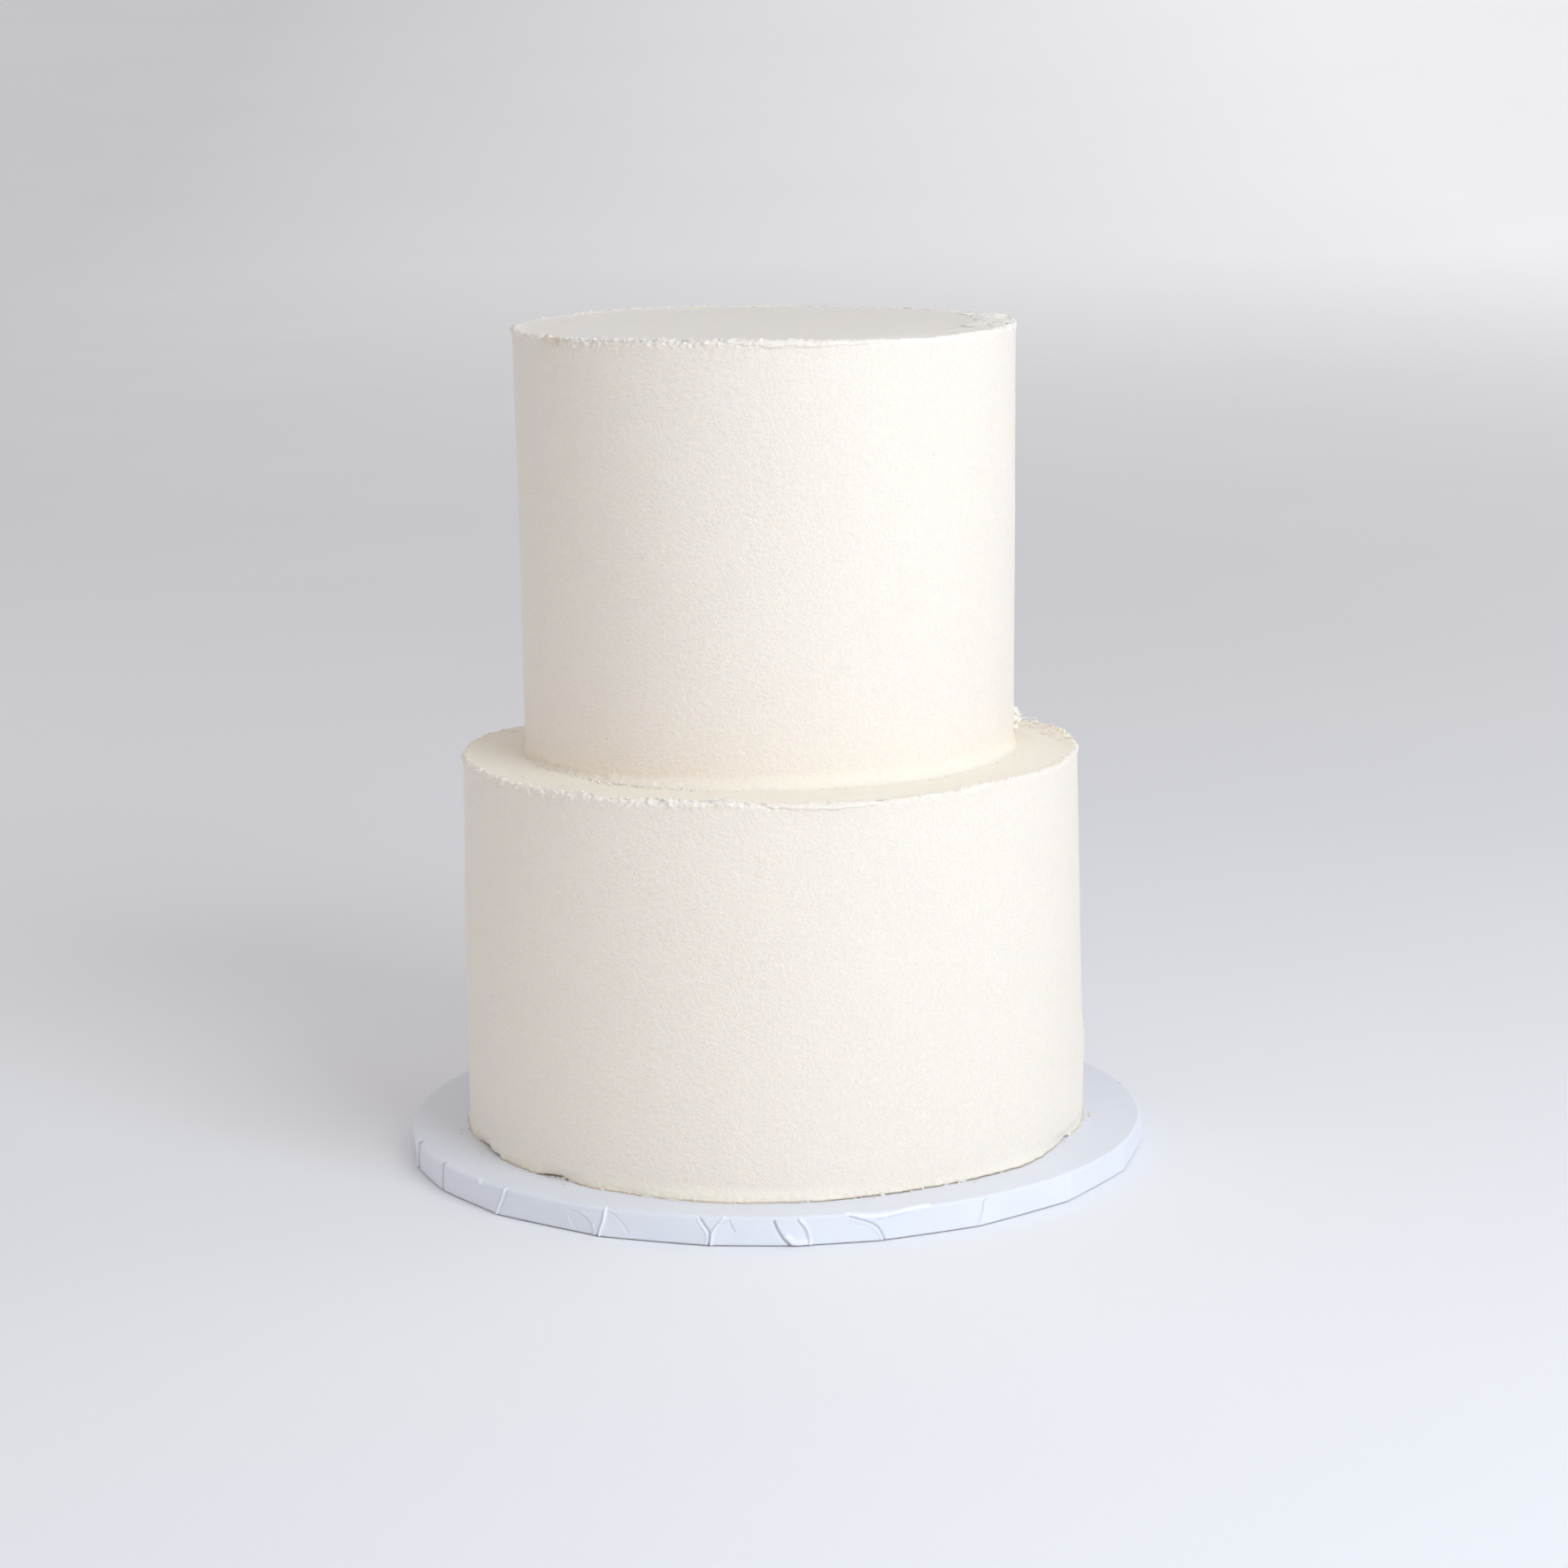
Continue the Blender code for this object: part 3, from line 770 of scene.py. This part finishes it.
# The folds of the wrapping: each is a set of strokes on the board's edge. A stroke is its kind,
# how far it stands out, how wide it is, and how far along and how high each point is, all in mm
FOLDS = {
    "seam": (
        ("groove", 0.75, 0.70, 0.4, 10.2, 0.0, 6, 0.0, 0),
    ),
    "deep_seam": (
        ("groove", 1.40, 1.00, 1.3, 9.6, 0.9, 6, 0.9, 0),
        ("ridge", 0.45, 0.50, -1.1, 9.8, -1.4, 6, -1.4, 0),
    ),
    "ridge": (
        ("ridge", 0.85, 0.36, 3.3, 9.6, 2.2, 6.5, 0.2, 2.6, -1.1, 0),
        ("groove", 0.35, 0.34, 4.2, 9.4, 3.1, 6.5, 1.1, 2.6, -0.1, 0),
        ("flap", 0.25, 4.0, 3.3, 9.6, 2.2, 6.5, 0.2, 2.6, -1.1, 0),
        ("ridge", 0.70, 0.60, -11.0, 9.9, -10.2, 9.4, -9.6, 9.0),
        ("ridge", 0.40, 0.32, -2.6, 0, -1.9, 1.8, -0.6, 3.0),
    ),
    "fan": (
        ("ridge", 0.90, 0.40, 0.6, 10.0, 0.1, 6.0, -1.1, 2.8, -1.8, 0),
        ("groove", 0.35, 0.32, -0.3, 9.0, -0.8, 6.0, -2.0, 2.8, -2.8, 0),
        ("ridge", 0.45, 0.30, -4.0, 3.8, -3.8, 1.8, -3.9, 0),
        ("flap", 0.40, 3.0, -14.0, 7.4, -9.6, 7.0, -5.6, 4.4, -3.6, 0.8),
        ("groove", 0.22, 0.34, -14.0, 7.4, -9.6, 7.2, -5.4, 4.7, -3.4, 1.2),
        ("ridge", 0.18, 0.40, -14.0, 7.4, -14.2, 4.4, -12.6, 1.0),
        ("groove", 0.24, 0.34, 1.2, 8.8, 4.2, 7.6, 6.8, 5.0, 8.4, 2.0),
        ("flap", 0.15, 2.5, 8.4, 2.0, 6.8, 5.0, 4.2, 7.6, 1.2, 8.8),
    ),
    "fork": (
        ("groove", 0.60, 0.36, -2.7, 9.4, -1.2, 7.0, 0.6, 4.1, 0.0, 0),
        ("ridge", 0.35, 0.32, -3.4, 9.2, -2.0, 6.6, -0.3, 3.7, -0.8, 0),
        ("ridge", 0.80, 0.36, 5.3, 9.6, 3.2, 7.2, 1.4, 4.4, 1.0, 0),
        ("groove", 0.35, 0.30, 6.9, 9.0, 7.4, 7.2, 8.6, 5.0),
        ("ridge", 0.35, 0.34, 5.3, 9.6, 6.4, 9.2, 7.6, 9.4),
    ),
    "leaf": (
        ("groove", 0.75, 0.42, -7.5, 8.3, -6.6, 6.0, -4.9, 3.0, -2.6, 0.5),
        ("ridge", 0.70, 0.85, -3.6, 3.6, -2.0, 2.0, 0.0, 1.2, 2.6, 1.4),
        ("ridge", 0.80, 0.34, 0.7, 8.9, 2.6, 6.6, 3.7, 3.8, 3.9, 0.3),
        ("groove", 0.30, 0.32, 0.0, 8.3, 1.8, 6.2, 2.8, 3.6, 3.0, 1.2),
        ("flap", 0.26, 3.4, -7.5, 8.3, -6.6, 6.0, -4.9, 3.0, -2.6, 0.5),
    ),
    "tuck": (
        ("groove", 0.60, 0.36, -10.0, 9.0, -5.0, 7.2, -0.7, 4.8, 1.6, 0.6),
        ("ridge", 0.75, 0.55, -11.0, 9.9, -4.0, 8.9, 4.0, 8.8, 10.0, 9.6, 17.5, 10.0),
        ("ridge", 0.40, 0.34, -9.4, 8.2, -4.4, 6.4, -1.4, 4.2, 0.9, 0.6),
        ("ridge", 0.55, 0.90, -6.5, 8.6, -3.0, 8.0, 1.5, 8.2),
        ("groove", 0.30, 0.30, -1.4, 7.9, 0.2, 7.1, 2.6, 7.5),
    ),
    "crease": (
        ("ridge", 0.40, 0.34, 1.9, 9.2, 1.0, 8.0, 0.5, 5.0, -0.9, 1.6),
        ("groove", 0.50, 0.36, 2.8, 8.8, 1.8, 7.8, 1.3, 5.0, -0.1, 1.6),
    ),
    "plain": (
        ("ridge", 0.14, 1.2, 0.0, 9.5, 0.2, 5.0, 0.0, 0),
    ),
}
FRONT_FOLDS = ("deep_seam", "seam", "ridge", "fan", "fork", "leaf", "tuck", "crease", "plain", "plain")
BACK_FOLDS = (
    "crease", "seam", "fork", "plain", "ridge", "leaf", "fan", "seam", "tuck", "plain", "ridge", "crease",
)

# How far a fold reaches along the edge, and how far it stands out for a full painted highlight or shade, in
# millimetres
FOLD_REACH = 24
FOLD_PAINTED_LIGHT_SIZE = 0.8


def distance_to(across, up, path):
    """The distance of each point to a path, counted negative on the path's left."""
    best = np.full(len(across), 1e9)
    side = np.ones(len(across))
    for (x0, y0), (x1, y1) in zip(path, path[1:]):
        length = (x1 - x0) ** 2 + (y1 - y0) ** 2
        share = np.clip(((across - x0) * (x1 - x0) + (up - y0) * (y1 - y0)) / length, 0, 1)
        apart = np.hypot(across - x0 - share * (x1 - x0), up - y0 - share * (y1 - y0))
        turn = (x1 - x0) * (up - y0) - (y1 - y0) * (across - x0)
        nearer = apart < best
        best = np.where(nearer, apart, best)
        side = np.where(nearer, np.sign(turn), side)
    return best * side


def stroke_relief(across, up, kind, size, width, *numbers):
    """How far a stroke makes the paper stand out at each point, in millimetres."""
    path = smooth_path(list(zip(numbers[::2], numbers[1::2])), 14)
    apart = distance_to(across, up, path)
    if kind == "flap":
        raised = np.clip(apart / 0.25, 0, 1) * np.exp(-np.maximum(apart, 0) / width)
        below_top = np.clip((path[:, 1].max() + 0.6 - up) / 1.2, 0, 1)
        above_foot = np.clip((up - path[:, 1].min() + 0.6) / 1.2, 0, 1)
        return size * raised * below_top * above_foot
    relief = size * bell(apart, 0, width)
    return -relief if kind == "groove" else relief


def fold_relief(angles, heights, pleats):
    """How far the folds stand out, in metres, and the painted highlight on their ridges and painted shade in
    their grooves.
    """
    relief = np.zeros(len(angles))
    painted_fold_light = np.zeros(len(angles))
    up = heights / MM
    for angle, kind in zip(pleats, FRONT_FOLDS + BACK_FOLDS):
        apart = (angles - angle + math.pi) % FULL_TURN - math.pi
        across = apart * BOARD_RADIUS / MM
        close = np.abs(across) < FOLD_REACH
        for stroke in FOLDS[kind]:
            stands_out = stroke_relief(across[close], up[close], *stroke)
            relief[close] += MM * stands_out
            # Ridges give a painted highlight and grooves painted shade; flaps give none.
            if stroke[0] != "flap":
                painted_fold_light[close] += stands_out / FOLD_PAINTED_LIGHT_SIZE
    return relief, painted_fold_light


def board(material, core_and_shadow_material):
    """The board: a round slab wrapped in paper, with its pleats folded against the edge."""
    pleats = pleat_angles()
    angles = ring_angles(BOARD_EDGE_STEPS)
    crown = BOARD_RADIUS - 0.4 * MM
    sag = BOARD_RADIUS * flats(angles, pleats)
    section = [(0.9, 0.35), (0.25, 0.4), (0.05, 0.7)]
    section += [(0.0, height) for height in np.linspace(1.0, 9.0, 23)]
    section += [(0.08, 9.35), (0.25, 9.62), (0.5, 9.83), (0.85, 9.96), (1.3, 10.0)]
    rings, painted_fold_lights = [], []
    for inward, height in section:
        flatness = 1.0 - ease((height - 0.4) / 9.0)
        radii = crown - inward * MM + (0.4 * MM - sag) * flatness
        heights = np.full(BOARD_EDGE_STEPS, height * MM)
        relief, painted_fold_light = fold_relief(angles, heights, pleats)
        on_edge = 1 - ease((height - 8.8) / 1.3)
        relief += 0.06 * MM * noise_at(round_points(angles, radii, heights), 9 * MM, 3, 2)
        radii = np.minimum(radii + relief * on_edge, BOARD_RADIUS + 0.5 * MM)
        heights = heights + 0.35 * relief * (1 - on_edge)
        rings.append(round_points(angles, radii, heights))
        painted_fold_lights.append(painted_fold_light)
    angles = ring_angles(BOARD_TOP_STEPS)
    for inward in (2.2, 3.6, 5.5, 8.0, 12.0, 17.0, 30.0):
        points = round_points(angles, crown - inward * MM, BOARD_TOP)
        points[:, 2] += 0.04 * MM * noise_at(points, 18 * MM, 4, 2)
        rings.append(points)
        painted_fold_lights.append(np.zeros(BOARD_TOP_STEPS))
    # Keeps the folds' painted highlight and painted shade for the paper's colour.
    mesh = ringed_mesh("wrapped_board", rings, fold=np.clip(np.concatenate(painted_fold_lights), -1, 1))
    add_piece("wrapped_board", mesh, material, "cake_board")
    # A brown band under the wrapping: the cardboard's edge, and partly a painted shadow along the board's
    # bottom edge.
    base = ring_angles(BASE_STEPS)
    base_radii = crown - 0.5 * MM - BOARD_RADIUS * flats(base, pleats)
    base_section = ((0.3, 0.0), (0.0, 0.1), (0.0, 0.45), (4.0, 0.5))
    rings = [round_points(base, base_radii - inward * MM, height * MM) for inward, height in base_section]
    add_piece("board_base", ringed_mesh("board_base", rings), core_and_shadow_material, "cake_board")


# The materials


def add_node(tree, kind, **settings):
    """A new node with those properties and inputs set."""
    node = tree.nodes.new(kind)
    for name, value in settings.items():
        if hasattr(node, name):
            setattr(node, name, value)
        else:
            node.inputs[name.replace("_", " ")].default_value = value
    return node


def new_material(name):
    """A material, its node tree, its shader and its object coordinates."""
    material = bpy.data.materials.new(name)
    material.use_nodes = True
    tree = material.node_tree
    coordinates = add_node(tree, "ShaderNodeTexCoord").outputs["Object"]
    return material, tree, tree.nodes["Principled BSDF"], coordinates


def noise_node(tree, coordinates, grain, detail, roughness=0.5):
    """A noise texture whose features are about grain wide."""
    texture = add_node(tree, "ShaderNodeTexNoise", Scale=1 / grain, Detail=detail, Roughness=roughness)
    tree.links.new(coordinates, texture.inputs["Vector"])
    return texture.outputs["Fac"]


def span(tree, value, low, high, to_low, to_high):
    """Maps a value from one range to another, within that range."""
    mapped = tree.nodes.new("ShaderNodeMapRange")
    tree.links.new(value, mapped.inputs["Value"])
    for name, number in (("From Min", low), ("From Max", high), ("To Min", to_low), ("To Max", to_high)):
        mapped.inputs[name].default_value = number
    return mapped.outputs["Result"]


def blend(tree, share, first, second):
    """A colour between two, each a colour or a node's output."""
    mixed = tree.nodes.new("ShaderNodeMix")
    mixed.data_type = "RGBA"
    tree.links.new(share, mixed.inputs["Factor"])
    for name, colour in (("A", first), ("B", second)):
        socket = [entry for entry in mixed.inputs if entry.name == name and entry.type == "RGBA"][0]
        if isinstance(colour, tuple):
            socket.default_value = (*colour, 1.0)
        else:
            tree.links.new(colour, socket)
    return [entry for entry in mixed.outputs if entry.type == "RGBA"][0]


def arithmetic(tree, operation, first, second):
    """A Math node on two values, each a number or a node's output."""
    maths = tree.nodes.new("ShaderNodeMath")
    maths.operation = operation
    for socket, value in zip(maths.inputs, (first, second)):
        if isinstance(value, (int, float)):
            socket.default_value = value
        else:
            tree.links.new(value, socket)
    return maths.outputs["Value"]


def kept_value(tree, name):
    """A number that a mesh keeps for its points, as a node's output."""
    return add_node(tree, "ShaderNodeAttribute", attribute_name=name).outputs["Fac"]


def cells(tree, coordinates, spacing):
    """The distance to the nearest of many spots, scattered about that far apart."""
    texture = add_node(tree, "ShaderNodeTexVoronoi", Scale=1 / spacing)
    tree.links.new(coordinates, texture.inputs["Vector"])
    return texture.outputs["Distance"]


def bumped(tree, shader, height, distance):
    """Feeds a height to the shader's normal."""
    relief = add_node(tree, "ShaderNodeBump", Strength=1.0, Distance=distance)
    tree.links.new(height, relief.inputs["Height"])
    tree.links.new(relief.outputs["Normal"], shader.inputs["Normal"])


def icing_material():
    """White buttercream: mottled, finely pored and paler in places. Its yellower tone on the ledge and in
    the cove is partly painted bounce light; its dark pinholes are painted shade, and its brown tone is
    mostly painted shade in crevices, pits and along the joints.
    """
    material, tree, shader, coordinates = new_material("buttercream")
    broad = noise_node(tree, coordinates, 45 * MM, 2)
    mottling = noise_node(tree, coordinates, 1.8 * MM, 4, 0.65)
    grains = noise_node(tree, coordinates, 0.65 * MM, 3, 0.7)
    pits = span(tree, cells(tree, coordinates, 4.5 * MM), 0.02, 0.09, 0.0, 1.0)
    broad = span(tree, broad, 0.35, 0.65, 0, 1)
    plain = blend(tree, broad, (0.920, 0.846, 0.756), (0.925, 0.855, 0.768))
    flecked = blend(tree, span(tree, mottling, 0.4, 0.62, 0, 1), plain, (0.940, 0.867, 0.778))
    grainy = blend(tree, span(tree, grains, 0.38, 0.6, 0.85, 0), flecked, (0.855, 0.782, 0.690))
    # Painted shade of pinholes: sparse darker specks, with no holes in the mesh.
    pinhole_shade = span(tree, cells(tree, coordinates, 13 * MM), 0.024, 0.045, 1.0, 0.0)
    grainy = blend(tree, arithmetic(tree, "MULTIPLY", pinhole_shade, 0.45), grainy, (0.66, 0.57, 0.46))
    kept = kept_value(tree, "butter")
    uneven = span(tree, mottling, 0.3, 0.7, 0.7, 1.0)
    butter = arithmetic(tree, "MULTIPLY", arithmetic(tree, "MAXIMUM", kept, 0.0), uneven)
    paleness = arithmetic(tree, "MAXIMUM", arithmetic(tree, "MULTIPLY", kept, -1.0), 0.0)
    # Yellower, brighter icing: softer buttercream, and on the ledge and in the cove partly painted bounce
    # light.
    tone = blend(tree, butter, grainy, (1.0, 0.915, 0.768))
    tone = blend(tree, paleness, tone, (0.960, 0.925, 0.875))
    # Brown tone, mostly painted shade: in the cove's crevice and pit, along the joint of the tiers and along
    # the lower tier's foot on the board.
    tone = blend(tree, kept_value(tree, "stain"), tone, (0.62, 0.47, 0.29))
    tree.links.new(tone, shader.inputs["Base Color"])
    tree.links.new(span(tree, mottling, 0.3, 0.7, 0.48, 0.62), shader.inputs["Roughness"])
    shader.inputs["Subsurface Weight"].default_value = 0.35
    shader.inputs["Subsurface Radius"].default_value = (1.0, 0.72, 0.45)
    shader.inputs["Subsurface Scale"].default_value = 2.0 * MM
    shader.inputs["IOR"].default_value = 1.45
    height = arithmetic(tree, "ADD", arithmetic(tree, "MULTIPLY", grains, 0.5), mottling)
    height = arithmetic(tree, "ADD", height, arithmetic(tree, "MULTIPLY", pits, 0.3))
    bumped(tree, shader, height, 0.40 * MM)
    return material


def paper_material():
    """Bluish white paper with a soft sheen, with a painted highlight on the crests of its folds and painted
    shade in their grooves.
    """
    material, tree, shader, coordinates = new_material("board_wrapping")
    clouds = noise_node(tree, coordinates, 28 * MM, 3)
    fibres = noise_node(tree, coordinates, 0.7 * MM, 3, 0.6)
    cloudy = span(tree, clouds, 0.35, 0.65, 0, 1)
    tone = blend(tree, cloudy, (0.780, 0.808, 0.868), (0.805, 0.828, 0.880))
    toothed = blend(tree, span(tree, fibres, 0.3, 0.7, 0, 0.4), tone, (0.745, 0.773, 0.843))
    kept = kept_value(tree, "fold")
    # Painted highlight on the crests of the folds, then painted shade in their grooves.
    toothed = blend(tree, span(tree, kept, 0.1, 0.9, 0, 0.8), toothed, (0.93, 0.95, 1.0))
    toothed = blend(tree, span(tree, kept, -0.1, -0.9, 0, 0.75), toothed, (0.42, 0.44, 0.50))
    tree.links.new(toothed, shader.inputs["Base Color"])
    tree.links.new(span(tree, clouds, 0.3, 0.7, 0.34, 0.46), shader.inputs["Roughness"])
    bumped(tree, shader, fibres, 0.05 * MM)
    return material


def core_and_shadow_material():
    """The brown edge of the cardboard under the wrapping. It also stands in for the shadow along the board's
    bottom edge, so it is partly a painted shadow.
    """
    material, tree, shader, coordinates = new_material("board_core_and_shadow")
    fibres = noise_node(tree, coordinates, 1.2 * MM, 3, 0.6)
    tone = blend(tree, span(tree, fibres, 0.3, 0.7, 0, 1), (0.36, 0.24, 0.15), (0.52, 0.38, 0.26))
    tree.links.new(tone, shader.inputs["Base Color"])
    shader.inputs["Roughness"].default_value = 0.8
    bumped(tree, shader, fibres, 0.1 * MM)
    return material


# The studio


def add_floor():
    """A plain pale floor. Far from the cake it glows a little and rises in a sweep."""
    around = ring_angles(FLOOR_STEPS)
    section = [(0.5, 0.0), (4.0, 0.0)]
    section += [(4 + 10 * share, 3 * share ** 2) for share in np.linspace(0.05, 1.2, 24)]
    rings = [round_points(around, reach, height) for reach, height in section]
    loops = [list(range(FLOOR_STEPS * n, FLOOR_STEPS * (n + 1))) for n in range(len(rings))]
    faces = [tuple(loops[0])]
    for inner, outer in zip(loops, loops[1:]):
        faces += stitch(outer, inner)
    mesh = bpy.data.meshes.new("floor")
    mesh.from_pydata(np.concatenate(rings).tolist(), [], faces)
    material, tree, shader, coordinates = new_material("floor")
    clouds = noise_node(tree, coordinates, 0.4, 2)
    tone = blend(tree, span(tree, clouds, 0.3, 0.7, 0, 1), (0.87, 0.875, 0.90), (0.89, 0.893, 0.91))
    tree.links.new(tone, shader.inputs["Base Color"])
    shader.inputs["Roughness"].default_value = 0.75
    place = add_node(tree, "ShaderNodeSeparateXYZ")
    tree.links.new(coordinates, place.inputs["Vector"])
    reach = add_node(tree, "ShaderNodeVectorMath", operation="LENGTH")
    tree.links.new(coordinates, reach.inputs[0])
    # A painted glow, stronger far from the cake and towards the right.
    far = span(tree, reach.outputs["Value"], 0.6, 5.0, 0.0, 0.24)
    to_right = span(tree, place.outputs["X"], -1.2, 1.2, 0.3, 1.6)
    tree.links.new(arithmetic(tree, "MULTIPLY", far, to_right), shader.inputs["Emission Strength"])
    shader.inputs["Emission Color"].default_value = (0.95, 0.97, 1.0, 1)
    mesh.materials.append(material)
    floor = bpy.data.objects.new("floor", mesh)
    bpy.context.collection.objects.link(floor)


def add_light(name, kind, azimuth, elevation, distance, aim_height, power, colour):
    """A light that faces the cake's axis, with azimuth 0 at the front. Gives back its settings."""
    a, e = math.radians(azimuth), math.radians(elevation)
    away = Vector((math.sin(a) * math.cos(e), -math.cos(a) * math.cos(e), math.sin(e)))
    light = bpy.data.lights.new(name, kind)
    light.energy = power
    light.color = colour
    lamp = bpy.data.objects.new(name, light)
    lamp.location = Vector((0, 0, aim_height)) + distance * away
    lamp.rotation_euler = away.to_track_quat("Z", "Y").to_euler()
    lamp.visible_camera = False
    bpy.context.collection.objects.link(lamp)
    return light


def add_lights():
    """An even pale room, a window at the front right, weak glows from both sides, a warm beam from
    low down at the front, and a bright ceiling."""
    world = bpy.data.worlds.new("studio")
    world.use_nodes = True
    background = world.node_tree.nodes["Background"]
    background.inputs["Color"].default_value = (0.985, 0.955, 0.965, 1)
    background.inputs["Strength"].default_value = 0.45
    bpy.context.scene.world = world
    for name, (azimuth, elevation, distance, size, power, colour) in AREA_LIGHTS.items():
        light = add_light(name, "AREA", azimuth, elevation, distance, 0.14, power, colour)
        light.shape = "SQUARE"
        light.size = size
    beam = add_light("low_glow", "SPOT", -26, 1.322, 1.30035, 0.07, 6.0, (1.0, 0.86, 0.70))
    beam.spot_size = math.radians(20)
    beam.spot_blend = 1.0
    beam.shadow_soft_size = 0.2
    ceiling = add_light("ceiling", "SUN", 0, 90, 2.0, 0.0, 0.30, (1, 1, 1))
    ceiling.angle = math.radians(60)


def add_camera():
    """The camera of the photograph, rolled a little to its right."""
    forward = Vector((0, math.cos(CAMERA_PITCH), -math.sin(CAMERA_PITCH)))
    level_up = Vector((0, math.sin(CAMERA_PITCH), math.cos(CAMERA_PITCH)))
    level_right = Vector((1, 0, 0))
    right = level_right * math.cos(CAMERA_ROLL) - level_up * math.sin(CAMERA_ROLL)
    up = level_right * math.sin(CAMERA_ROLL) + level_up * math.cos(CAMERA_ROLL)
    lens = bpy.data.cameras.new("camera")
    lens.lens = CAMERA_LENS_MM
    lens.sensor_width = SENSOR_MM
    camera = bpy.data.objects.new("camera", lens)
    turn = Matrix((right, up, -forward)).transposed().to_4x4()
    camera.matrix_world = Matrix.Translation(CAMERA_PLACE) @ turn
    bpy.context.collection.objects.link(camera)
    bpy.context.scene.camera = camera


bpy.context.scene.view_settings.view_transform = "Standard"
add_camera()
add_lights()
add_floor()
icing = icing_material()
board(paper_material(), core_and_shadow_material())
lower_tier(icing)
upper_tier(icing)
rim_crumbs("upper_rim_crumbs", 21, 190, UPPER_CRAGS, UPPER_FLAKES, UPPER_RIM_PROFILE, UPPER_RIM,
           UPPER_TOP_RADIUS, UPPER_MIDDLE_Y, "upper_tier", -0.35, icing)
rim_crumbs("lower_rim_crumbs", 22, 210, LOWER_CRAGS, LOWER_FLAKES, LOWER_RIM_PROFILE, LOWER_RIM,
           LOWER_TOP_RADIUS, LOWER_MIDDLE_Y, "lower_tier", -0.15, icing)
ledge_crumbs(icing)
foot_crumbs(icing)
top_strokes(icing)
side_clump(icing)
